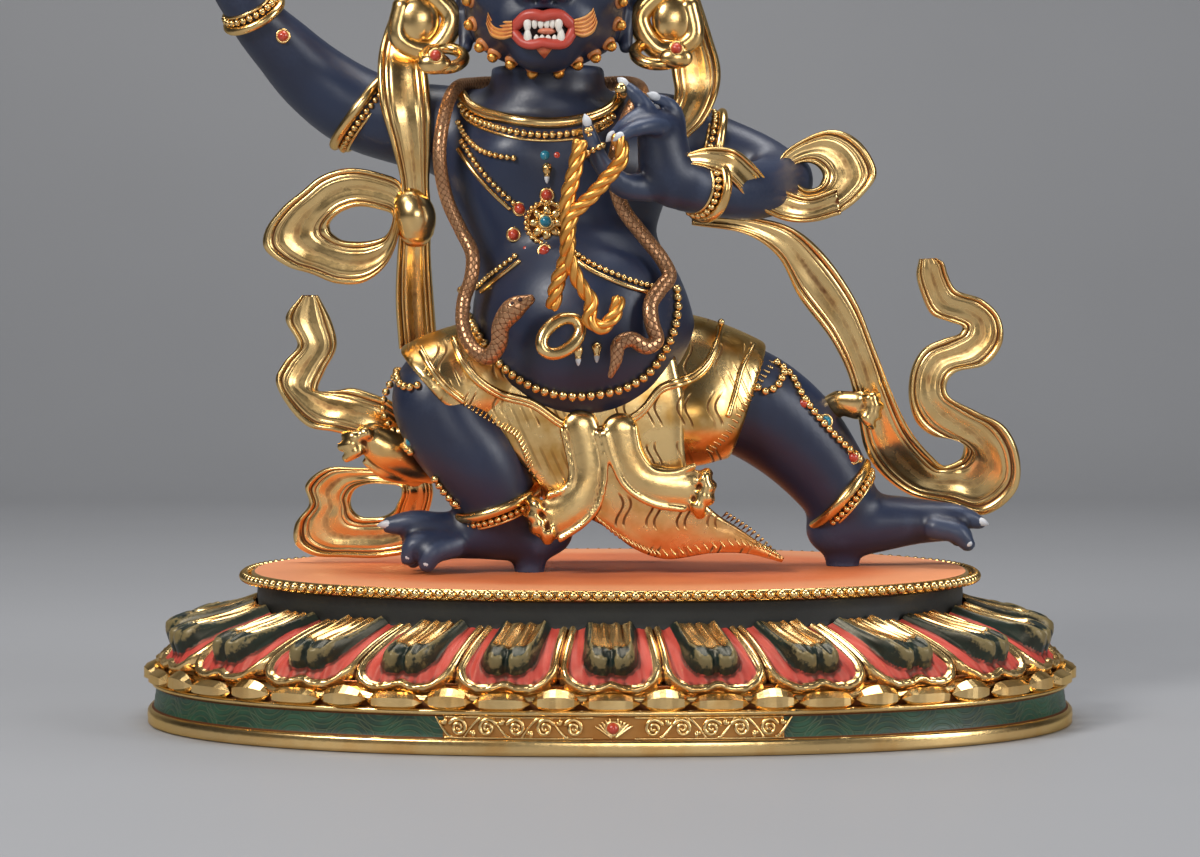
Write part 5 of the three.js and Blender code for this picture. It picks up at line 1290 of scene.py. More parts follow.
def paws():
    """Two paws in front, flat with raised rims, and one beside each knee."""
    clay = Clay((-64, -30, 38), (64, 16, 72), 0.42)
    for shaft, rims, fingers, gaps, y in (
        (
            [(580, 428), (586, 455), (588, 478), (578, 500), (562, 514), (548, 520)],
            [[(562, 430), (568, 455), (571, 474), (566, 488), (548, 496)], [(598, 433), (604, 458), (604, 482), (597, 508), (584, 524), (560, 540)]],
            [(531, 501), (529, 515), (534, 529), (547, 540)], [(543, 503), (541, 515), (547, 528)], -18.6,
        ),
        (
            [(620, 431), (627, 458), (640, 478), (660, 487), (682, 489), (694, 491)],
            [[(605, 434), (614, 465), (626, 488), (653, 505), (684, 510)], [(634, 427), (639, 452), (653, 470), (676, 472), (694, 466)]],
            [(707, 474), (711, 486), (709, 500), (700, 514)], [(699, 474), (699, 487), (693, 500)], -19.0,
        ),
    ):
        place = lambda x, z, d=0.0: at_pixel(x, z, y + d)
        clay.limb([[*place(*p), 4.0 + 0.5 * (i > 2), 0.42] for i, p in enumerate(shaft)], 0.8)
        for rim in rims:
            clay.limb([[*place(*p, -1.0), 0.75] for p in rim], 0.5)
        for tip in fingers:
            root = mix(np.array(tip, float), np.array(shaft[-1], float), 0.75)
            clay.limb([[*place(*root, -0.6), 1.5], [*place(*mix(root, np.array(tip), 0.6), -1.4), 1.6], [*place(*tip, 0.2), 1.35]], 0.5)
        for gap in gaps:
            way = unit(np.array(shaft[-1], float) - np.array(gap, float)) * 9
            clay.limb([[*place(*gap, -2.2), 0.65, 1.6], [*place(*(np.array(gap) + way), -2.6), 0.5, 1.2]], 0.3, "cut")
    for arm, tips in (
        ([(432, 468), (412, 462), (392, 452), (372, 440)], [(345, 436), (341, 447), (346, 458), (362, 430)]),
        ([(826, 412), (842, 403), (858, 404)], [(877, 396), (880, 406), (878, 416), (872, 426)]),
    ):
        left = arm[0][0] < 600
        deep = [-3, -7, -10, -11] if left else [5, 2, 1]
        thick = [3.6, 4.2, 4.4, 3.8] if left else [3, 3, 3.6]
        clay.limb([[*at_pixel(*p, d), r, 0.8] for p, d, r in zip(arm, deep, thick)], 1)
        for i, tip in enumerate(tips):
            root = mix(np.array(tip, float), np.array(arm[-1], float), 0.7)
            bend = mix(root, np.array(tip, float), 0.55)
            d = deep[-1]
            clay.limb([[*at_pixel(*root, d - 1), 1.5], [*at_pixel(*bend, d - 3), 1.45], [*at_pixel(*tip, d - 1.4), 1.1]], 0.35)
        if left:
            clay.limb([[*at_pixel(405, 478, -6), 1.6], [*at_pixel(385, 472, -9), 1.8], [*at_pixel(366, 462, -10), 1.0]], 0.6)
    return clay.skinned()


def tiger_skin():
    right = wrap_points(RIGHT_WRAP, RIGHT_HEM)
    left = wrap_points(LEFT_WRAP, LEFT_HEM, ((17, -3.4, 67), (14, 13.6, 11.5)))
    hang = ribbon(HANG, SHEET, 70)
    rear = ribbon(HANG_BEHIND, SHEET, 40)
    hems = [right[2], left[2], np.full(len(hang[0]), 9.0), np.full(len(rear[0]), 9.0)]
    points, faces = gather([right[:2], left[:2], hang, rear])
    piece("tiger_skin", points, faces, TIGER, "figure", "gilding", attributes={"hem": np.concatenate(hems)})
    skirt = points, faces
    ground = Ground(skirt, (body_points, body_faces))
    folds = []
    rim = [
        (453, 338), (461, 358), (476, 378), (500, 393), (532, 402), (563, 423), (592, 430), (622, 422), (642, 410),
        (661, 387), (691, 377), (708, 362), (719, 335), (721, 322),
    ]
    cuff_line = [(754, 345), (742, 368), (735, 393), (728, 416)]
    hip_line = [(421, 352), (430, 368), (443, 386), (462, 402)]
    for pixels, shift, r in ((rim, 0, 0.75), (rim, 4, 0.6), (cuff_line, 0, 0.6), (hip_line, 0, 0.6), (hip_line, -5, 0.4)):
        path, _ = ground.line([(x, y + shift) for x, y in pixels], 110, 0.15)
        folds.append(tube(path, r, 10))
    folds += fur(ground)
    piece("tiger_folds", *gather(folds), GOLD, "figure", "gilding")
    points, faces = paws()
    piece("tiger_paws", points, faces, GOLD, "figure", "gilding", rounds=4)
    return skirt


# %% Hair
def hair_points():
    stations = np.array([
        [-14, -5, 167, 13.8], [-14, -5, 172.6, 14.6], [-14, -1.6, 180, 17], [-14, 1, 190, 15.2],
        [-13.4, 2.4, 201, 8.4], [-12, 2.4, 209, 3.4], [-11.4, 2.4, 213.2, 0.5],
    ])
    rows = spline(stations, 90)
    a = np.linspace(0, 2 * np.pi, 240, endpoint=False)
    rings = []
    for i, (x, y, z, r) in enumerate(rows):
        swirl = a - (z - 167) * 0.016
        lock = 1 + 0.09 * np.cos(8 * swirl) + 0.03 * np.cos(16 * swirl + z * 0.25) + 0.016 * np.cos(48 * swirl + z * 0.12)
        curl = 0.04 * np.sin(8 * swirl + z * 0.5)
        ring = np.stack([x + r * (lock + curl) * np.cos(a), y + r * 0.86 * (lock + curl) * np.sin(a), z + 0 * a], -1)
        rings.append(ring)
    return skin(rings)


def flames():
    parts = []
    for side, z, out in ((-1, 179, 23), (-1, 188, 20), (1, 179, 23), (1, 188, 20)):
        path = spline([
            [-14 + side * out * 0.45, 0, z - 4, 5], [-14 + side * out * 0.85, 1, z + 1, 3.2], [-14 + side * out, 1.5, z + 9, 0.4],
        ], 24)
        parts.append(tube(path[:, :3], path[:, 3], 14, squash=0.8))
    return gather(parts)


# %% Scarves
SHOULDER_STRAND = [
    [-46, 160, -40.5, 157, 5], [-49.4, 151, -41, 147, 1], [-50.6, 144, -40, 143, -4], [-50, 134.5, -39, 134.5, -6.6],
    [-47.6, 126, -39, 126, -6.4], [-45.6, 117.5, -39.4, 117.5, -5.4], [-45.8, 110.5, -39, 110.5, -4.4],
    [-46.6, 103, -39.4, 103, -1], [-47.4, 92, -39, 92, 5], [-47, 81, -38.4, 81, 10],
]
SHOULDER_ARC = [
    [-46, 160, -40.5, 157, 5], [-44, 169, -37, 165, 10], [-36, 178, -31, 172, 15], [-24, 184, -22, 177, 18],
    [-13, 185.6, -13, 178, 19], [-2, 184, -4, 177, 18], [9, 177, 4, 171, 15], [16.6, 168, 10, 164, 11],
    [20, 158, 12, 155, 7], [22.4, 150, 13, 146.4, 4], [24.2, 142.6, 13.6, 141.4, 0], [23.4, 136.6, 14, 136.6, -4],
    [20.6, 131, 12, 131.6, -6.4], [16.4, 126.8, 9, 127.6, -8],
]
BOW = [
    [-45.6, 117.4, -47.6, 110.6, -5], [-50.4, 119.8, -50.6, 111.8, -4.6], [-57, 120.8, -55, 112.4, -4],
    [-63, 119.2, -58.4, 111.4, -3.4], [-67.4, 115.8, -60.6, 109.8, -3], [-72, 112, -61.4, 108.6, -2.4],
    [-75.6, 107, -61.4, 107.8, -2], [-75.8, 103.4, -61.2, 107, -2], [-70.8, 99.4, -60.4, 106.2, -2],
    [-65.4, 97.7, -58.8, 105.2, -2.4], [-59.8, 95.6, -56, 104.8, -3], [-54, 95.8, -52.4, 105, -3.6],
    [-49, 99.6, -49.2, 106, -4.2], [-46, 106.8, -47.8, 108.2, -5],
]
FOREARM_WRAP = [
    [16.4, 123.2, 15, 121, -33], [20.4, 124.4, 20, 120, -30.6], [26, 124.2, 25.4, 117.4, -28.6],
    [30, 121.6, 28.6, 114, -24.6], [33.6, 118.2, 32.4, 111.4, -19], [38.4, 115.6, 37.8, 109.2, -14.4],
    [43, 114.4, 43, 108.9, -12], [49, 116.4, 50, 110.6, -10.6],
]
FOREARM_LOBE = [
    [37, 123.2, 39.4, 120.8, -8.6], [41.6, 126.8, 41.6, 121.8, -8.4], [48, 129, 44, 121.6, -8.2],
    [52.6, 127.6, 45.6, 120.4, -8.2], [56, 124.2, 46.2, 119, -8.4], [57.8, 119.4, 45.8, 117.8, -8.8],
    [55.2, 115.2, 45.2, 116.8, -9.2], [49.6, 110.8, 43.6, 116.2, -9.8], [43, 109, 42, 116.4, -10.4],
    [38, 111.4, 40.6, 117.4, -10.4], [35.4, 117.4, 39.4, 119.2, -9.4],
]
LONG_TAIL = [
    [17.5, 110.6, 17.5, 108.2, -18], [29.5, 110.2, 29.5, 106.2, -13], [39.5, 107.8, 36.5, 101.4, -8],
    [46.6, 102.4, 41.4, 92.6, -3], [54, 92, 48.6, 83.2, 0], [58.6, 81, 52.6, 75.4, 2], [63, 70, 55, 65.6, 4],
    [67, 62.6, 56.6, 59, 7], [72, 57, 60.2, 53.4, 12], [75.4, 54.6, 67.4, 48, 16], [79, 56, 76.6, 45.6, 17.5],
    [79.6, 57.6, 84.4, 43.4, 17], [79.4, 59.4, 91.4, 49, 15.5], [76.6, 60.6, 91.8, 57, 14], [72.4, 61.4, 88.4, 63.6, 13],
    [68.6, 64.4, 82, 67, 12], [66.8, 70, 75.6, 70.6, 11], [67.4, 76.6, 75.2, 73.2, 11], [70, 81, 77, 75.6, 11],
    [74.4, 83.2, 84.2, 77.6, 11], [78, 84.4, 87.6, 82.6, 11], [78.6, 85.8, 87, 88, 11], [75.6, 87, 83, 92, 10],
    [71.6, 88.6, 77, 94.2, 9], [69.4, 92.6, 75, 97.6, 8], [68, 97.6, 74, 100.2, 7], [68.6, 101, 72.4, 101.2, 7],
]
KNEE_TAIL = [
    [-68, 93, -64.4, 93, 3], [-71.6, 88, -61.4, 87, 3], [-69, 82, -60.4, 81.6, 3], [-72, 78.2, -63, 76.2, 3],
    [-73.8, 74.4, -64.4, 72, 2.6], [-71.4, 69, -60.6, 72, 2], [-66.4, 64, -57, 72.6, 1], [-61, 63, -52.4, 71.4, 0],
    [-53.6, 61, -47, 69, 0], [-48.6, 58, -43, 64, 3],
]
KNEE_LOOP = [
    [-41, 53.4, -46.6, 50.2, 8], [-48, 54, -50.4, 50.8, 10], [-56.4, 54.4, -54.4, 50.6, 12], [-64, 54, -57.2, 49.2, 14],
    [-68.4, 50.2, -58.2, 47, 15], [-67.6, 46, -58, 45.2, 15.4], [-70.8, 41.4, -57, 43.8, 15.6],
    [-70.8, 37, -55.6, 43, 15.8], [-67, 34.4, -54, 42.9, 16], [-60, 33.9, -52, 43, 16], [-51, 33.9, -50.4, 43.4, 15.6],
    [-43.6, 36, -48.6, 44.6, 14], [-40.6, 44, -47.4, 46.6, 11], [-39.4, 50, -46.4, 48.8, 8],
]


def lump(stations, sides=20, steps=16):
    path = spline(np.array([list(s) + [1.0] * (5 - len(s)) for s in stations], float), steps)
    return tube(path[:, :3], path[:, 3], sides, squash=float(path[:, 4].mean()))


def scarves():
    shoulder = gather([
        ribbon(SHOULDER_STRAND, RIMMED, 110), ribbon(SHOULDER_ARC, RIMMED, 150), ribbon(BOW, RIMMED, 150, closed=True),
        lump([[-44, -4.6, 114, 3.6, 0.9], [-42.4, -5.6, 110.4, 4.4, 0.9], [-42.4, -4.4, 106.4, 3.8, 0.9]]),
    ])
    piece("shoulder_scarf_cloth", *shoulder, GOLD, "shoulder_scarf", "gilding")
    arm = gather([
        ribbon(FOREARM_WRAP, RIMMED, 70), ribbon(FOREARM_LOBE, RIMMED, 110, closed=True), ribbon(LONG_TAIL, RIMMED, 330),
    ])
    piece("arm_scarf_cloth", *arm, GOLD, "arm_scarf", "gilding")
    knee = gather([
        ribbon(KNEE_TAIL, RIMMED, 120), ribbon(KNEE_LOOP, RIMMED, 150, closed=True),
        lump([[-46, 2, 62, 4, 0.5], [-43, 8, 52, 3.4, 0.6]]),
    ])
    piece("knee_scarf_cloth", *knee, GOLD, "knee_scarf", "gilding")


# %% Snake, noose, crown, vajra and earrings
SNAKE = [
    [-16.6, -33.4, 92.6, 1], [-20.2, -33, 90.6, 2.4], [-23, -31.6, 87, 2], [-23.6, -30, 83, 1.8], [-26, -27.6, 80.2, 1.8],
    [-29.4, -25, 82, 1.8], [-31.4, -22.4, 86.4, 1.8], [-31.4, -19.6, 92, 1.8], [-29.8, -19.4, 97, 1.8],
    [-29.6, -18.6, 102, 1.8], [-32, -17, 107, 1.7], [-35, -16.6, 113.6, 1.7], [-36.6, -17.6, 122.4, 1.7],
    [-36, -15.6, 130, 1.7], [-34, -8, 137.4, 1.7], [-30, 4, 139.4, 1.7], [-22.6, 12.4, 140, 1.7], [-13, 15.6, 140, 1.7],
    [-3.4, 12, 139.8, 1.7], [4.4, 4, 139.6, 1.7], [7, -6, 137.4, 1.7], [4.6, -16.6, 133, 1.7], [1.8, -20.8, 126, 1.7],
    [0.8, -21.6, 119, 1.7], [2.6, -21.2, 112, 1.7], [7, -20.4, 106, 1.7], [11, -20.4, 101, 1.7], [12.6, -21.4, 97.4, 1.7],
    [10.6, -24, 94.6, 1.7], [8.6, -26.6, 91.4, 1.7], [8.8, -27.8, 87.4, 1.7], [9.8, -27.4, 83.8, 1.7],
    [7.6, -29, 82.4, 1.7], [4.4, -30.6, 84, 1.7], [1.8, -31.6, 83, 1.6], [1.2, -31.4, 79.4, 1.2], [0, -30.4, 76.2, 0.6],
]
ROPE_LEFT = [
    [-6.2, -42, 125], [-7.6, -42, 118.6], [-9, -41, 113], [-8.8, -40, 107], [-9.2, -39, 101.4], [-11.2, -37, 95.6],
    [-12, -35.4, 91],
]
ROPE_RIGHT = [
    [1.6, -43, 126.4], [2.4, -43, 122], [-1, -42.6, 117.4], [-4.4, -42, 113.6], [-8, -41.4, 110], [-9, -41, 105.4],
    [-8.4, -39.4, 100.4], [-6.2, -38, 95.4], [-4, -37, 92], [-4.4, -36.6, 88.4], [-2, -37, 86.6], [1, -36.6, 89.6],
    [1.6, -36, 92.6],
]


def hoop(centre, axis, wide, deep, radius, around=48, sides=12, tall=1.0, wave=0.0, waves=0):
    along = unit(np.asarray(axis, float))
    across = unit(np.cross([0, 1.0, 0], along))
    depth = np.cross(along, across)
    a = np.linspace(0, 2 * np.pi, around, endpoint=False)
    out = np.cos(a)[:, None] * across + np.sin(a)[:, None] * depth
    mid = np.asarray(centre) + wide * np.cos(a)[:, None] * across + deep * np.sin(a)[:, None] * depth
    b = np.linspace(0, 2 * np.pi, sides, endpoint=False)[None, :, None]
    r = (radius * (1 + wave * np.cos(a * waves)))[:, None, None]
    return skin(mid[:, None] + out[:, None] * r * np.cos(b) + along * r * tall * np.sin(b), closed=True)


def snake_and_noose():
    sides = 16
    path = spline(SNAKE, 420)
    points, faces = tube(path[:, :3], path[:, 3], sides, squash=0.85)
    steps = np.concatenate([[0, 0], np.cumsum(np.linalg.norm(np.diff(path[:, :3], axis=0), axis=1)), [0]])
    marks = {
        "along": np.concatenate([np.repeat(steps, sides), [0, 0]])[:len(points)],
        "around": np.concatenate([np.tile(np.minimum(np.arange(sides), sides - np.arange(sides)), len(steps)), [0, 0]]),
    }
    piece("snake_scales", points, faces, SNAKE_GOLD, "snake_garland", "copper_gilding", attributes=marks)
    eyes_at = [ball((x, -34.6, z), (0.5, 0.4, 0.5), 6, 8) for x, z in ((-19.0, 92.4), (-20.6, 91.6))]
    piece("snake_eyes", *gather(eyes_at), DARK, "snake_garland", "copper_gilding")
    parts = []
    for line, r in ((ROPE_LEFT, 1.7), (ROPE_RIGHT, 1.6)):
        path = spline(line, 120)
        _, side, across = frames_along(path)
        length = np.concatenate([[0], np.cumsum(np.linalg.norm(np.diff(path, axis=0), axis=1))])
        for k in range(3):
            a = length / 1.5 + k * 2 * np.pi / 3
            strand = path + (side * np.cos(a)[:, None] + across * np.sin(a)[:, None]) * r * 0.46
            parts.append(tube(strand, r * 0.56, 8))
    piece("noose_rope", *gather(parts), ROPE_GOLD, "noose", "rope_gilding")
    piece("noose_ring", *hoop((-10.4, -34.6, 84.8), (0.25, -1, 0.2), 3, 4.8, 1.4), GOLD, "noose", "gilding")


def crown():
    parts = [hoop((HEAD[0], -6.6, 172), (0, -0.1, 1), 17.6, 17.6, 1.6, 96, 12, 1.5)]
    for turn in (-76, -38, 0, 38, 76):
        a = math.radians(turn - 90)
        foot = [HEAD[0] + 19 * math.cos(a), -6.6 + 19 * math.sin(a), 172]
        lean = [math.cos(a) * 0.3, math.sin(a) * 0.3, 1]
        parts.append(turned(foot, lean, [[0.1, 0], [2, 0], [3.6, 4.4], [1.2, 8.6], [2, 10.4], [0.1, 14.4]], 16))
    for side in (-1, 1):
        rows = [[HEAD[0] + side * 19.6, -6, 172.4, 2.6], [HEAD[0] + side * 24.6, -5.6, 167, 3]]
        for a in (1.5, 3.1, 4.3, 5.6, 7.0):
            r = mix(8.4, 4.4, (a - 1.5) / 5.5)
            rows.append([HEAD[0] + side * (27.6 + r * math.cos(a)), -5.4, 153 + r * math.sin(a) * 1.15, 2.4])
        path = spline(rows, 60)
        parts.append(tube(path[:, :3], path[:, 3], 12, squash=0.9))
        parts.append(ball((HEAD[0] + side * 27.6, -6, 153), (4.6, 2, 5)))
    piece("skull_crown_gold", *gather(parts), GOLD, "skull_crown", "gilding")


def vajra():
    half = 18.5
    head = [[6.8, 1.6], [8.4, 2.7], [9.8, 1.4], [12.4, 4.8], [half - 2, 1.3], [half, 0]]
    profile = [[r, -z] for z, r in head[::-1]] + [[r, z] for z, r in head]
    piece("vajra_gold", *turned(FIST, VAJRA_WAY, profile, 24), GOLD, "vajra", "gilding")


def earrings():
    for name, x, y, z, r, shift in (("left", -36, -10, 144.4, 4.3, -1.8), ("right", 10.4, -9, 145.6, 5, 3.8)):
        parts = [hoop((x, y, z), (0, -0.55, 0.84), r, r, 1.35, 60, 14)]
        parts.append(ball((x + shift, y - r * 0.84 - 0.5, z - 1.4), (3.6, 1.7, 2.4), 14, 24))
        piece("earring_%s_gold" % name, *gather(parts), GOLD, "earring_" + name, "gilding")


def snake_gilding():
    """Coppery gilding with a net of oval scales."""
    f = Finish("Snake scales", specular_tint=(1.0, 0.8, 0.6, 1.0))
    along, around, hollow = f.attribute("along"), f.attribute("around"), f.attribute("hollow")
    a, b = along * 2.1 + around * 1.15, along * 2.1 - around * 1.15
    net = a.sum("SINE", a) * b.sum("SINE", b)
    line = 1.0 - net.sum("ABSOLUTE", net).ramp(0.0, 0.3)
    cloud = f.noise(4, 3)
    colour = f.blend((0.62, 0.36, 0.2), (0.42, 0.2, 0.09), cloud)
    colour = f.blend(colour, (0.1, 0.035, 0.014), line * 0.75 + (hollow + cloud * 0.04).ramp(0.05, 0.2) * 0.5)
    return f.feed(
        base_color=colour, metallic=0.85 - line * 0.4, roughness=0.28 + line * 0.25 + cloud * 0.08,
        normal=f.bump(line * -1.0, 0.16),
    )


def tiger_gilding():
    """Gilded fur: wavy pairs of engraved stripes in patches, and the gold darker and redder towards the bottom."""
    f = Finish("Tiger skin gilding", specular_tint=(1.0, 0.88, 0.6, 1.0))
    place = f.place()
    x = f.node("ShaderNodeSeparateXYZ", None, {"Vector": place}, out="X") * 1000.0
    z = f.node("ShaderNodeSeparateXYZ", None, {"Vector": place}, out="Z") * 1000.0
    cloud, grain, patch, hollow = f.noise(8, 4), f.noise(0.9, 3), f.noise(13, 1), f.attribute("hollow")
    bend = z * 0.75
    u = x + bend.sum("SINE", bend) * 0.8
    u = u.sum("FLOORED_MODULO", u, 6.6)
    stripe = (1.0 - (u - 2.0).sum("ABSOLUTE", u - 2.0).ramp(0.12, 0.34)) + (1.0 - (u - 3.7).sum("ABSOLUTE", u - 3.7).ramp(0.12, 0.34))
    row = z.sum("FLOORED_MODULO", z + cloud * 5.0, 11.0)
    stripe = stripe * row.ramp(1.0, 2.6) * (1.0 - row.ramp(7.4, 9.0)) * patch.ramp(0.4, 0.5)
    hatch = (x * 3.0 + z * 1.4).sum("SINE", x * 3.0 + z * 1.4).ramp(0.3, 0.9) * (1.0 - patch.ramp(0.36, 0.42))
    brown = (hollow + (cloud - 0.5) * 0.1 + (grain - 0.5) * 0.05).ramp(0.02, 0.12)
    # The gold turns darker and redder towards the bottom of the skin.
    low = 1.0 - (z + cloud * 9.0).ramp(42.0, 56.0)
    leaf = f.blend((0.87, 0.6, 0.26), (0.62, 0.34, 0.09), cloud.ramp(0.4, 0.68))
    leaf = f.blend(leaf, (0.85, 0.34, 0.12), low * 0.55)
    dark = stripe * 0.9 + brown * 0.8 + hatch * 0.35
    return f.feed(
        base_color=f.blend(leaf, (0.13, 0.045, 0.012), dark.sum("MINIMUM", dark, 1.0)),
        metallic=1.0 - stripe * 0.5 - brown * 0.3,
        roughness=0.2 + cloud * 0.16 + stripe * 0.3 + brown * 0.2,
        normal=f.bump(stripe * -1.0 - hatch * 0.3 + cloud * 0.5 + grain * 0.1, 0.2),
    )


TIGER = tiger_gilding()
SNAKE_GOLD = snake_gilding()
skirt = tiger_skin()
skin_ground = Ground((body_points, body_faces), skirt)
mouth()
beard_and_moustache()
eyes()
piece("hair_flames", *gather([hair_points(), flames()]), HAIR, "figure", "body_paint")
scarves()
snake_and_noose()
crown()
vajra()
earrings()

# %% Rings round limbs
def round_limb(stations, place, lift, shift=0.0, tilt=(0, 0, 0), count=72):
    """A closed line round a limb at a share of its length, and the way out from the limb along it."""
    rows = np.array([list(s) + [1.0] * (5 - len(s)) for s in stations], float)
    curve = spline(rows, 201)
    i = int(round(place * 200))
    ahead, side, across = frames_along(curve[:, :3])
    way = unit(ahead[i] + np.asarray(tilt, float))
    deep = unit(side[i] - way * side[i].dot(way))
    wide = np.cross(way, deep)
    a = np.linspace(0, 2 * np.pi, count, endpoint=False)[:, None]
    r, ratio = curve[i, 3] + lift, curve[i, 4]
    out = np.cos(a) * wide + np.sin(a) * deep
    middle = curve[i, :3] + way * shift
    return middle + (np.cos(a) * wide * r + np.sin(a) * deep * r * ratio), out, way


def cuffs():
    """Armlets, bracelets and anklets: a plain round band beside a row of beads."""
    bands, strings = [], []
    for stations, place, lift, bead_side, tilt, thick in (
        (RIGHT_ARM, 0.36, 0.5, -1, (0.25, 0, 0.1), 1.15), (RIGHT_ARM, 0.79, 0.35, 1, (0.1, 0, -0.1), 1.0),
        (LEFT_ARM_UPPER, 0.5, 0.5, -1, (0.1, 0.2, 0.1), 1.0), (LEFT_FOREARM, 0.86, 0.6, 1, (0, 0, 0), 1.15),
        (RIGHT_LEG, 0.86, 0.6, 1, (0.1, 0, 0), 1.15), (LEFT_LEG, 0.83, 0.5, 1, (0.3, 0, 0.25), 1.2),
    ):
        ring, out, _ = round_limb(stations, place, lift + thick * 0.2, 0, tilt)
        bands.append(tube(ring, thick, 12, closed=True))
        ring, out, _ = round_limb(stations, place, lift * 0.6, bead_side * (thick + 0.85), tilt)
        strings.append((ring, out, True))
        ring, out, _ = round_limb(stations, place, lift * 0.5 - 0.3, bead_side * (thick + 1.9), tilt)
        bands.append(tube(ring, 0.34, 8, closed=True))
    return bands, strings


# %% Chains, wheel and settings
def necklaces():
    bands, strings, small = cuffs()[0], [], []
    strings += cuffs()[1]
    line = lambda pixels, steps, lift: skin_ground.line(pixels, steps, lift)
    torque = [(461, 97), (467, 105), (478, 112), (497, 119), (520, 124), (545, 126), (572, 124.4), (596, 118), (612, 108), (622, 96)]
    path, facing = line(torque, 90, 0.7)
    bands.append(tube(path, 1.25, 12))
    path, facing = line([(x, y + 10.4) for x, y in torque[:-1]], 90, 0.35)
    strings.append((path, facing, False))
    path, facing = line([(x, y + 15.4) for x, y in torque[:-1]], 90, 0.1)
    bands.append(tube(path, 0.32, 8))
    for pixels in (
        [(459, 124), (466, 137), (480, 150), (496, 156), (514, 158.6)], [(578, 158), (590, 153), (602, 146)],
        [(463, 143), (474, 159), (486, 175), (500, 190), (514, 203)], [(516, 257), (503, 267), (490, 277), (478, 288)],
        [(566, 246), (578, 256), (592, 265), (612, 274), (636, 283), (664, 290)],
    ):
        path, facing = line(pixels, 60, 0.4)
        small.append((path, facing, False))
    for pixels in (
        [(459, 150), (470, 166), (482, 181), (496, 196), (510, 209)], [(520, 262), (507, 272), (494, 282), (482, 292)],
        [(564, 251), (576, 261), (590, 270.6), (610, 280), (634, 289), (662, 296)],
    ):
        path, facing = line(pixels, 60, 0.25)
        bands.append(tube(path, 0.5, 8))
    belly = [
        (462, 290), (466, 308), (474, 330), (486, 348), (503, 364), (521, 378), (545, 389.6), (575, 394.6), (602, 392),
        (622, 387), (642, 376), (659, 356), (670, 333), (675, 310), (674, 290),
    ]
    path, facing = line(belly, 160, 0.6)
    piece("necklace_bands", *gather(bands), GOLD, "figure", "gilding")
    strung("necklace_beads", strings, 1.55, (0.78, 0.86, 0.84), GOLD, "figure", "gilding")
    strung("chain_beads", small, 1.36, (0.7, 0.72, 0.68), GOLD, "figure", "gilding")
    strung("belly_beads", [(path, facing, False)], 1.98, (1.0, 1.15, 1.05), GOLD, "figure", "gilding")


def knee_chains():
    lines = []
    for pixels in (
        [(399, 371), (390, 384), (384, 397), (383, 410), (388, 424), (398, 437), (412, 451)],
        [(397, 371), (401, 384), (409, 388), (418, 386)], [(436, 478), (445, 491), (456, 503)],
        [(757, 388), (766, 392), (777, 386), (783, 374)],
        [(776, 364), (790, 376), (799, 392), (808, 406), (822, 423), (836, 438), (850, 452), (858, 460)],
    ):
        path, facing = skin_ground.line(pixels, 50, 0.5)
        lines.append((path, facing, False))
    strung("knee_beads", lines, 1.7, (0.92, 0.96, 0.92), GOLD, "figure", "gilding")


def wheel():
    """The breast wheel: a rim of beads, eight petals and a raised boss round its stone."""
    place, normal = skin_ground.pixel(547, 223)
    normal = unit(normal + np.array([0, -0.6, 0]))
    side = unit(np.cross([0, 0, 1.0], normal))
    up = np.cross(normal, side)
    parts = [turned(place, normal, [[4.3, -1.5], [4.6, 0.1], [4.4, 0.9], [3.9, 0.9], [3.7, 0.45], [0.05, 0.5]], 48)]
    for k in range(8):
        a = k * math.pi / 4
        way = side * math.cos(a) + up * math.sin(a)
        points, faces = ball((0, 0, 0), (1.35, 1.0, 0.8), 8, 12)
        cross = np.cross(normal, way)
        parts.append((place + normal * 0.7 + way * 2.6 + points[:, :1] * way + points[:, 1:2] * cross + points[:, 2:] * normal, faces))
    parts.append(turned(place + normal * 0.4, normal, [[1.9, 0], [2.0, 0.5], [1.6, 0.9], [1.3, 0.8]], 24))
    a = np.linspace(0, 2 * np.pi, 64, endpoint=False)[:, None]
    rim = place + normal * 0.8 + (np.cos(a) * side + np.sin(a) * up) * 4.5
    piece("breast_wheel", *gather(parts), GOLD, "figure", "gilding")
    strung("wheel_beads", [(rim, np.tile(normal, (64, 1)), True)], 1.2, 0.62, GOLD, "figure", "gilding")


def spikes():
    """Pointed drops under the chains, with pale tips."""
    parts, tips = [], []
    for px, py, length in ((547, 166, 3.4), (578, 347, 3.4), (596, 344, 3.4), (604, 158, 0.0)):
        if not length:
            continue
        place, normal = skin_ground.pixel(px, py, 0.6)
        parts.append(turned(place, (0, -0.1, -1), [[0.3, -0.6], [1.0, 0], [1.1, 0.7], [0.8, 1.5], [0.6, 2.1], [0.7, 2.4]], 14))
        tips.append(turned(place + np.array([0, -0.24, -2.3]), (0, -0.1, -1), [[0.6, 0], [0.55, 0.6], [0.3, 1.3], [0.05, 1.6]], 12))
    piece("drops", *gather(parts), GOLD, "figure", "gilding")
    piece("drop_tips", *gather(tips), NAIL, "figure", "body_paint")


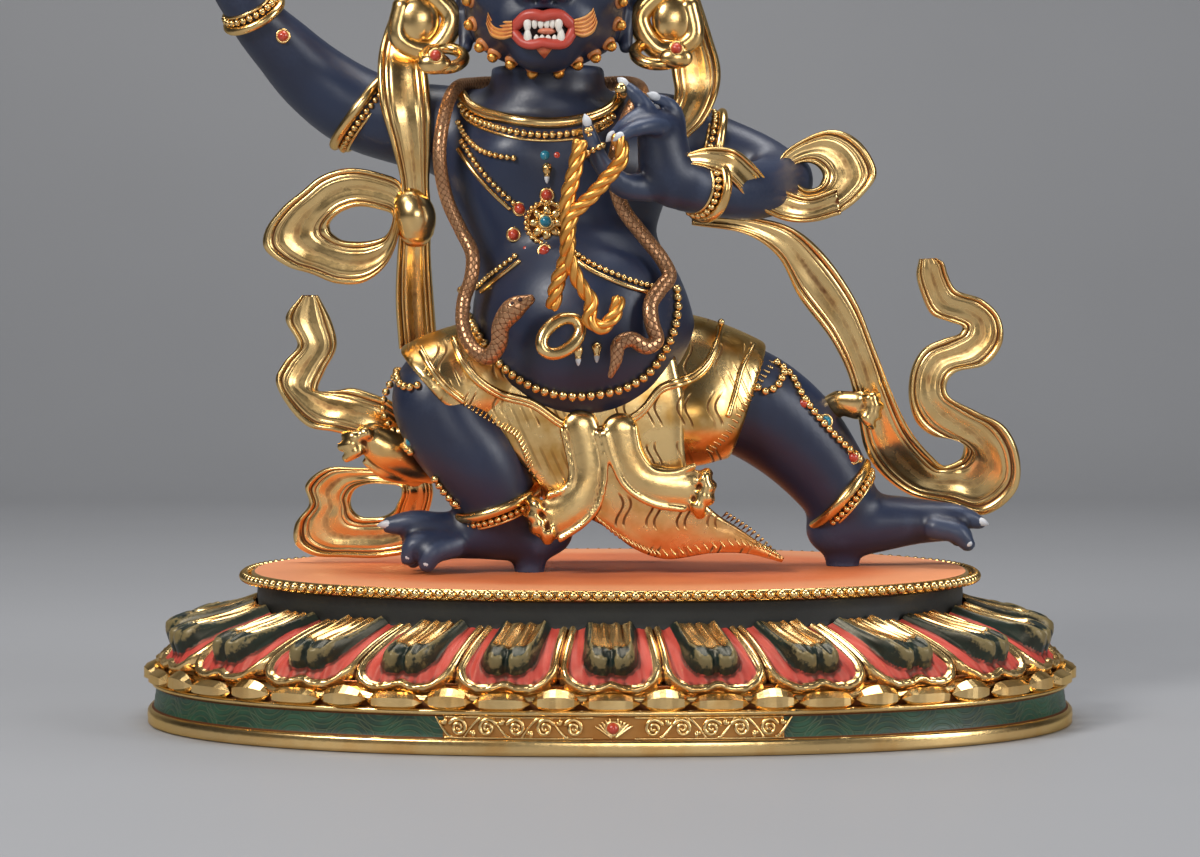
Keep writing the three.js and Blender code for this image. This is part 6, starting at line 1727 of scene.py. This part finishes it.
def stones():
    """Each stone is a polished dome in a bezel, on the seat that the frame gives it."""
    bezels = {}
    for name in sorted(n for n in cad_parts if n.startswith(("coral_", "turquoise_"))):
        low, high = (np.array(c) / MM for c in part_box(name))
        centre = (low + high) / 2
        holder, ground = "figure", skin_ground
        if name == "coral_16":
            holder, normal = "lotus_plinth", np.array([0, -1.0, 0])
        elif name in ("coral_17", "coral_18"):
            holder, normal = ("earring_left", "earring_right")[name == "coral_18"], np.array([0, -1.0, 0.1])
        else:
            normal = unit(ground.nearest(centre)[1] + np.array([0, -1.5, 0]))
        seat = centre - normal * 0.45
        dome = [[1.05, -0.5], [1.16, 0], [1.12, 0.4], [0.9, 0.8], [0.55, 1.05], [0.2, 1.16], [0.05, 1.17]]
        colour, slot = (CORAL, "coral") if name.startswith("coral") else (TURQUOISE, "turquoise")
        piece(name + "_stone", *turned(seat, normal, dome, 20), colour, name, slot, rounds=1)
        side = unit(np.cross([0, 0, 1.0], normal))
        up = np.cross(normal, side)
        a = np.linspace(0, 2 * np.pi, 24, endpoint=False)[:, None]
        ring = seat + (np.cos(a) * side + np.sin(a) * up) * 1.34
        bezels.setdefault(holder, []).append(tube(ring, 0.34, 8, closed=True))
        bezels[holder].append(turned(seat - normal * 1.0, normal, [[1.3, 0], [1.5, 0.7], [1.3, 1.0], [0.05, 1.0]], 20))
    for holder, parts in bezels.items():
        piece("settings_" + holder, *gather(parts), GOLD, holder, "gilding", rounds=1)


def nails():
    parts = []
    for line, long in [(f, 2.6) for f in LEFT_FINGERS] + [(f, 2.0) for f in RIGHT_TOES[1:] + LEFT_TOES[1:]] + [
        (RIGHT_TOES[0], 3.6), (LEFT_TOES[0], 3.0)
    ]:
        a, b = np.array(line[-2][:3], float), np.array(line[-1][:3], float)
        way = unit(b - a)
        out = unit(np.array([0, -1.0, 0.3]) - way * way.dot([0, -1.0, 0.3]))
        start = b - way * 1.1 + out * line[-1][3] * 0.55
        rows = np.array([[*start, 0.7], [*(start + way * 1.0 + out * 0.1), 0.95], [*(start + way * (long * 0.7)), 0.75],
                         [*(start + way * long - out * 0.3), 0.2]])
        path = spline(rows, 12)
        parts.append(tube(path[:, :3], path[:, 3], 10, squash=0.75))
    piece("nails", *gather(parts), NAIL, "figure", "body_paint", rounds=1)


necklaces()
knee_chains()
wheel()
spikes()
stones()
nails()

# %% Close
print(made, "all:", sum(made.values()))
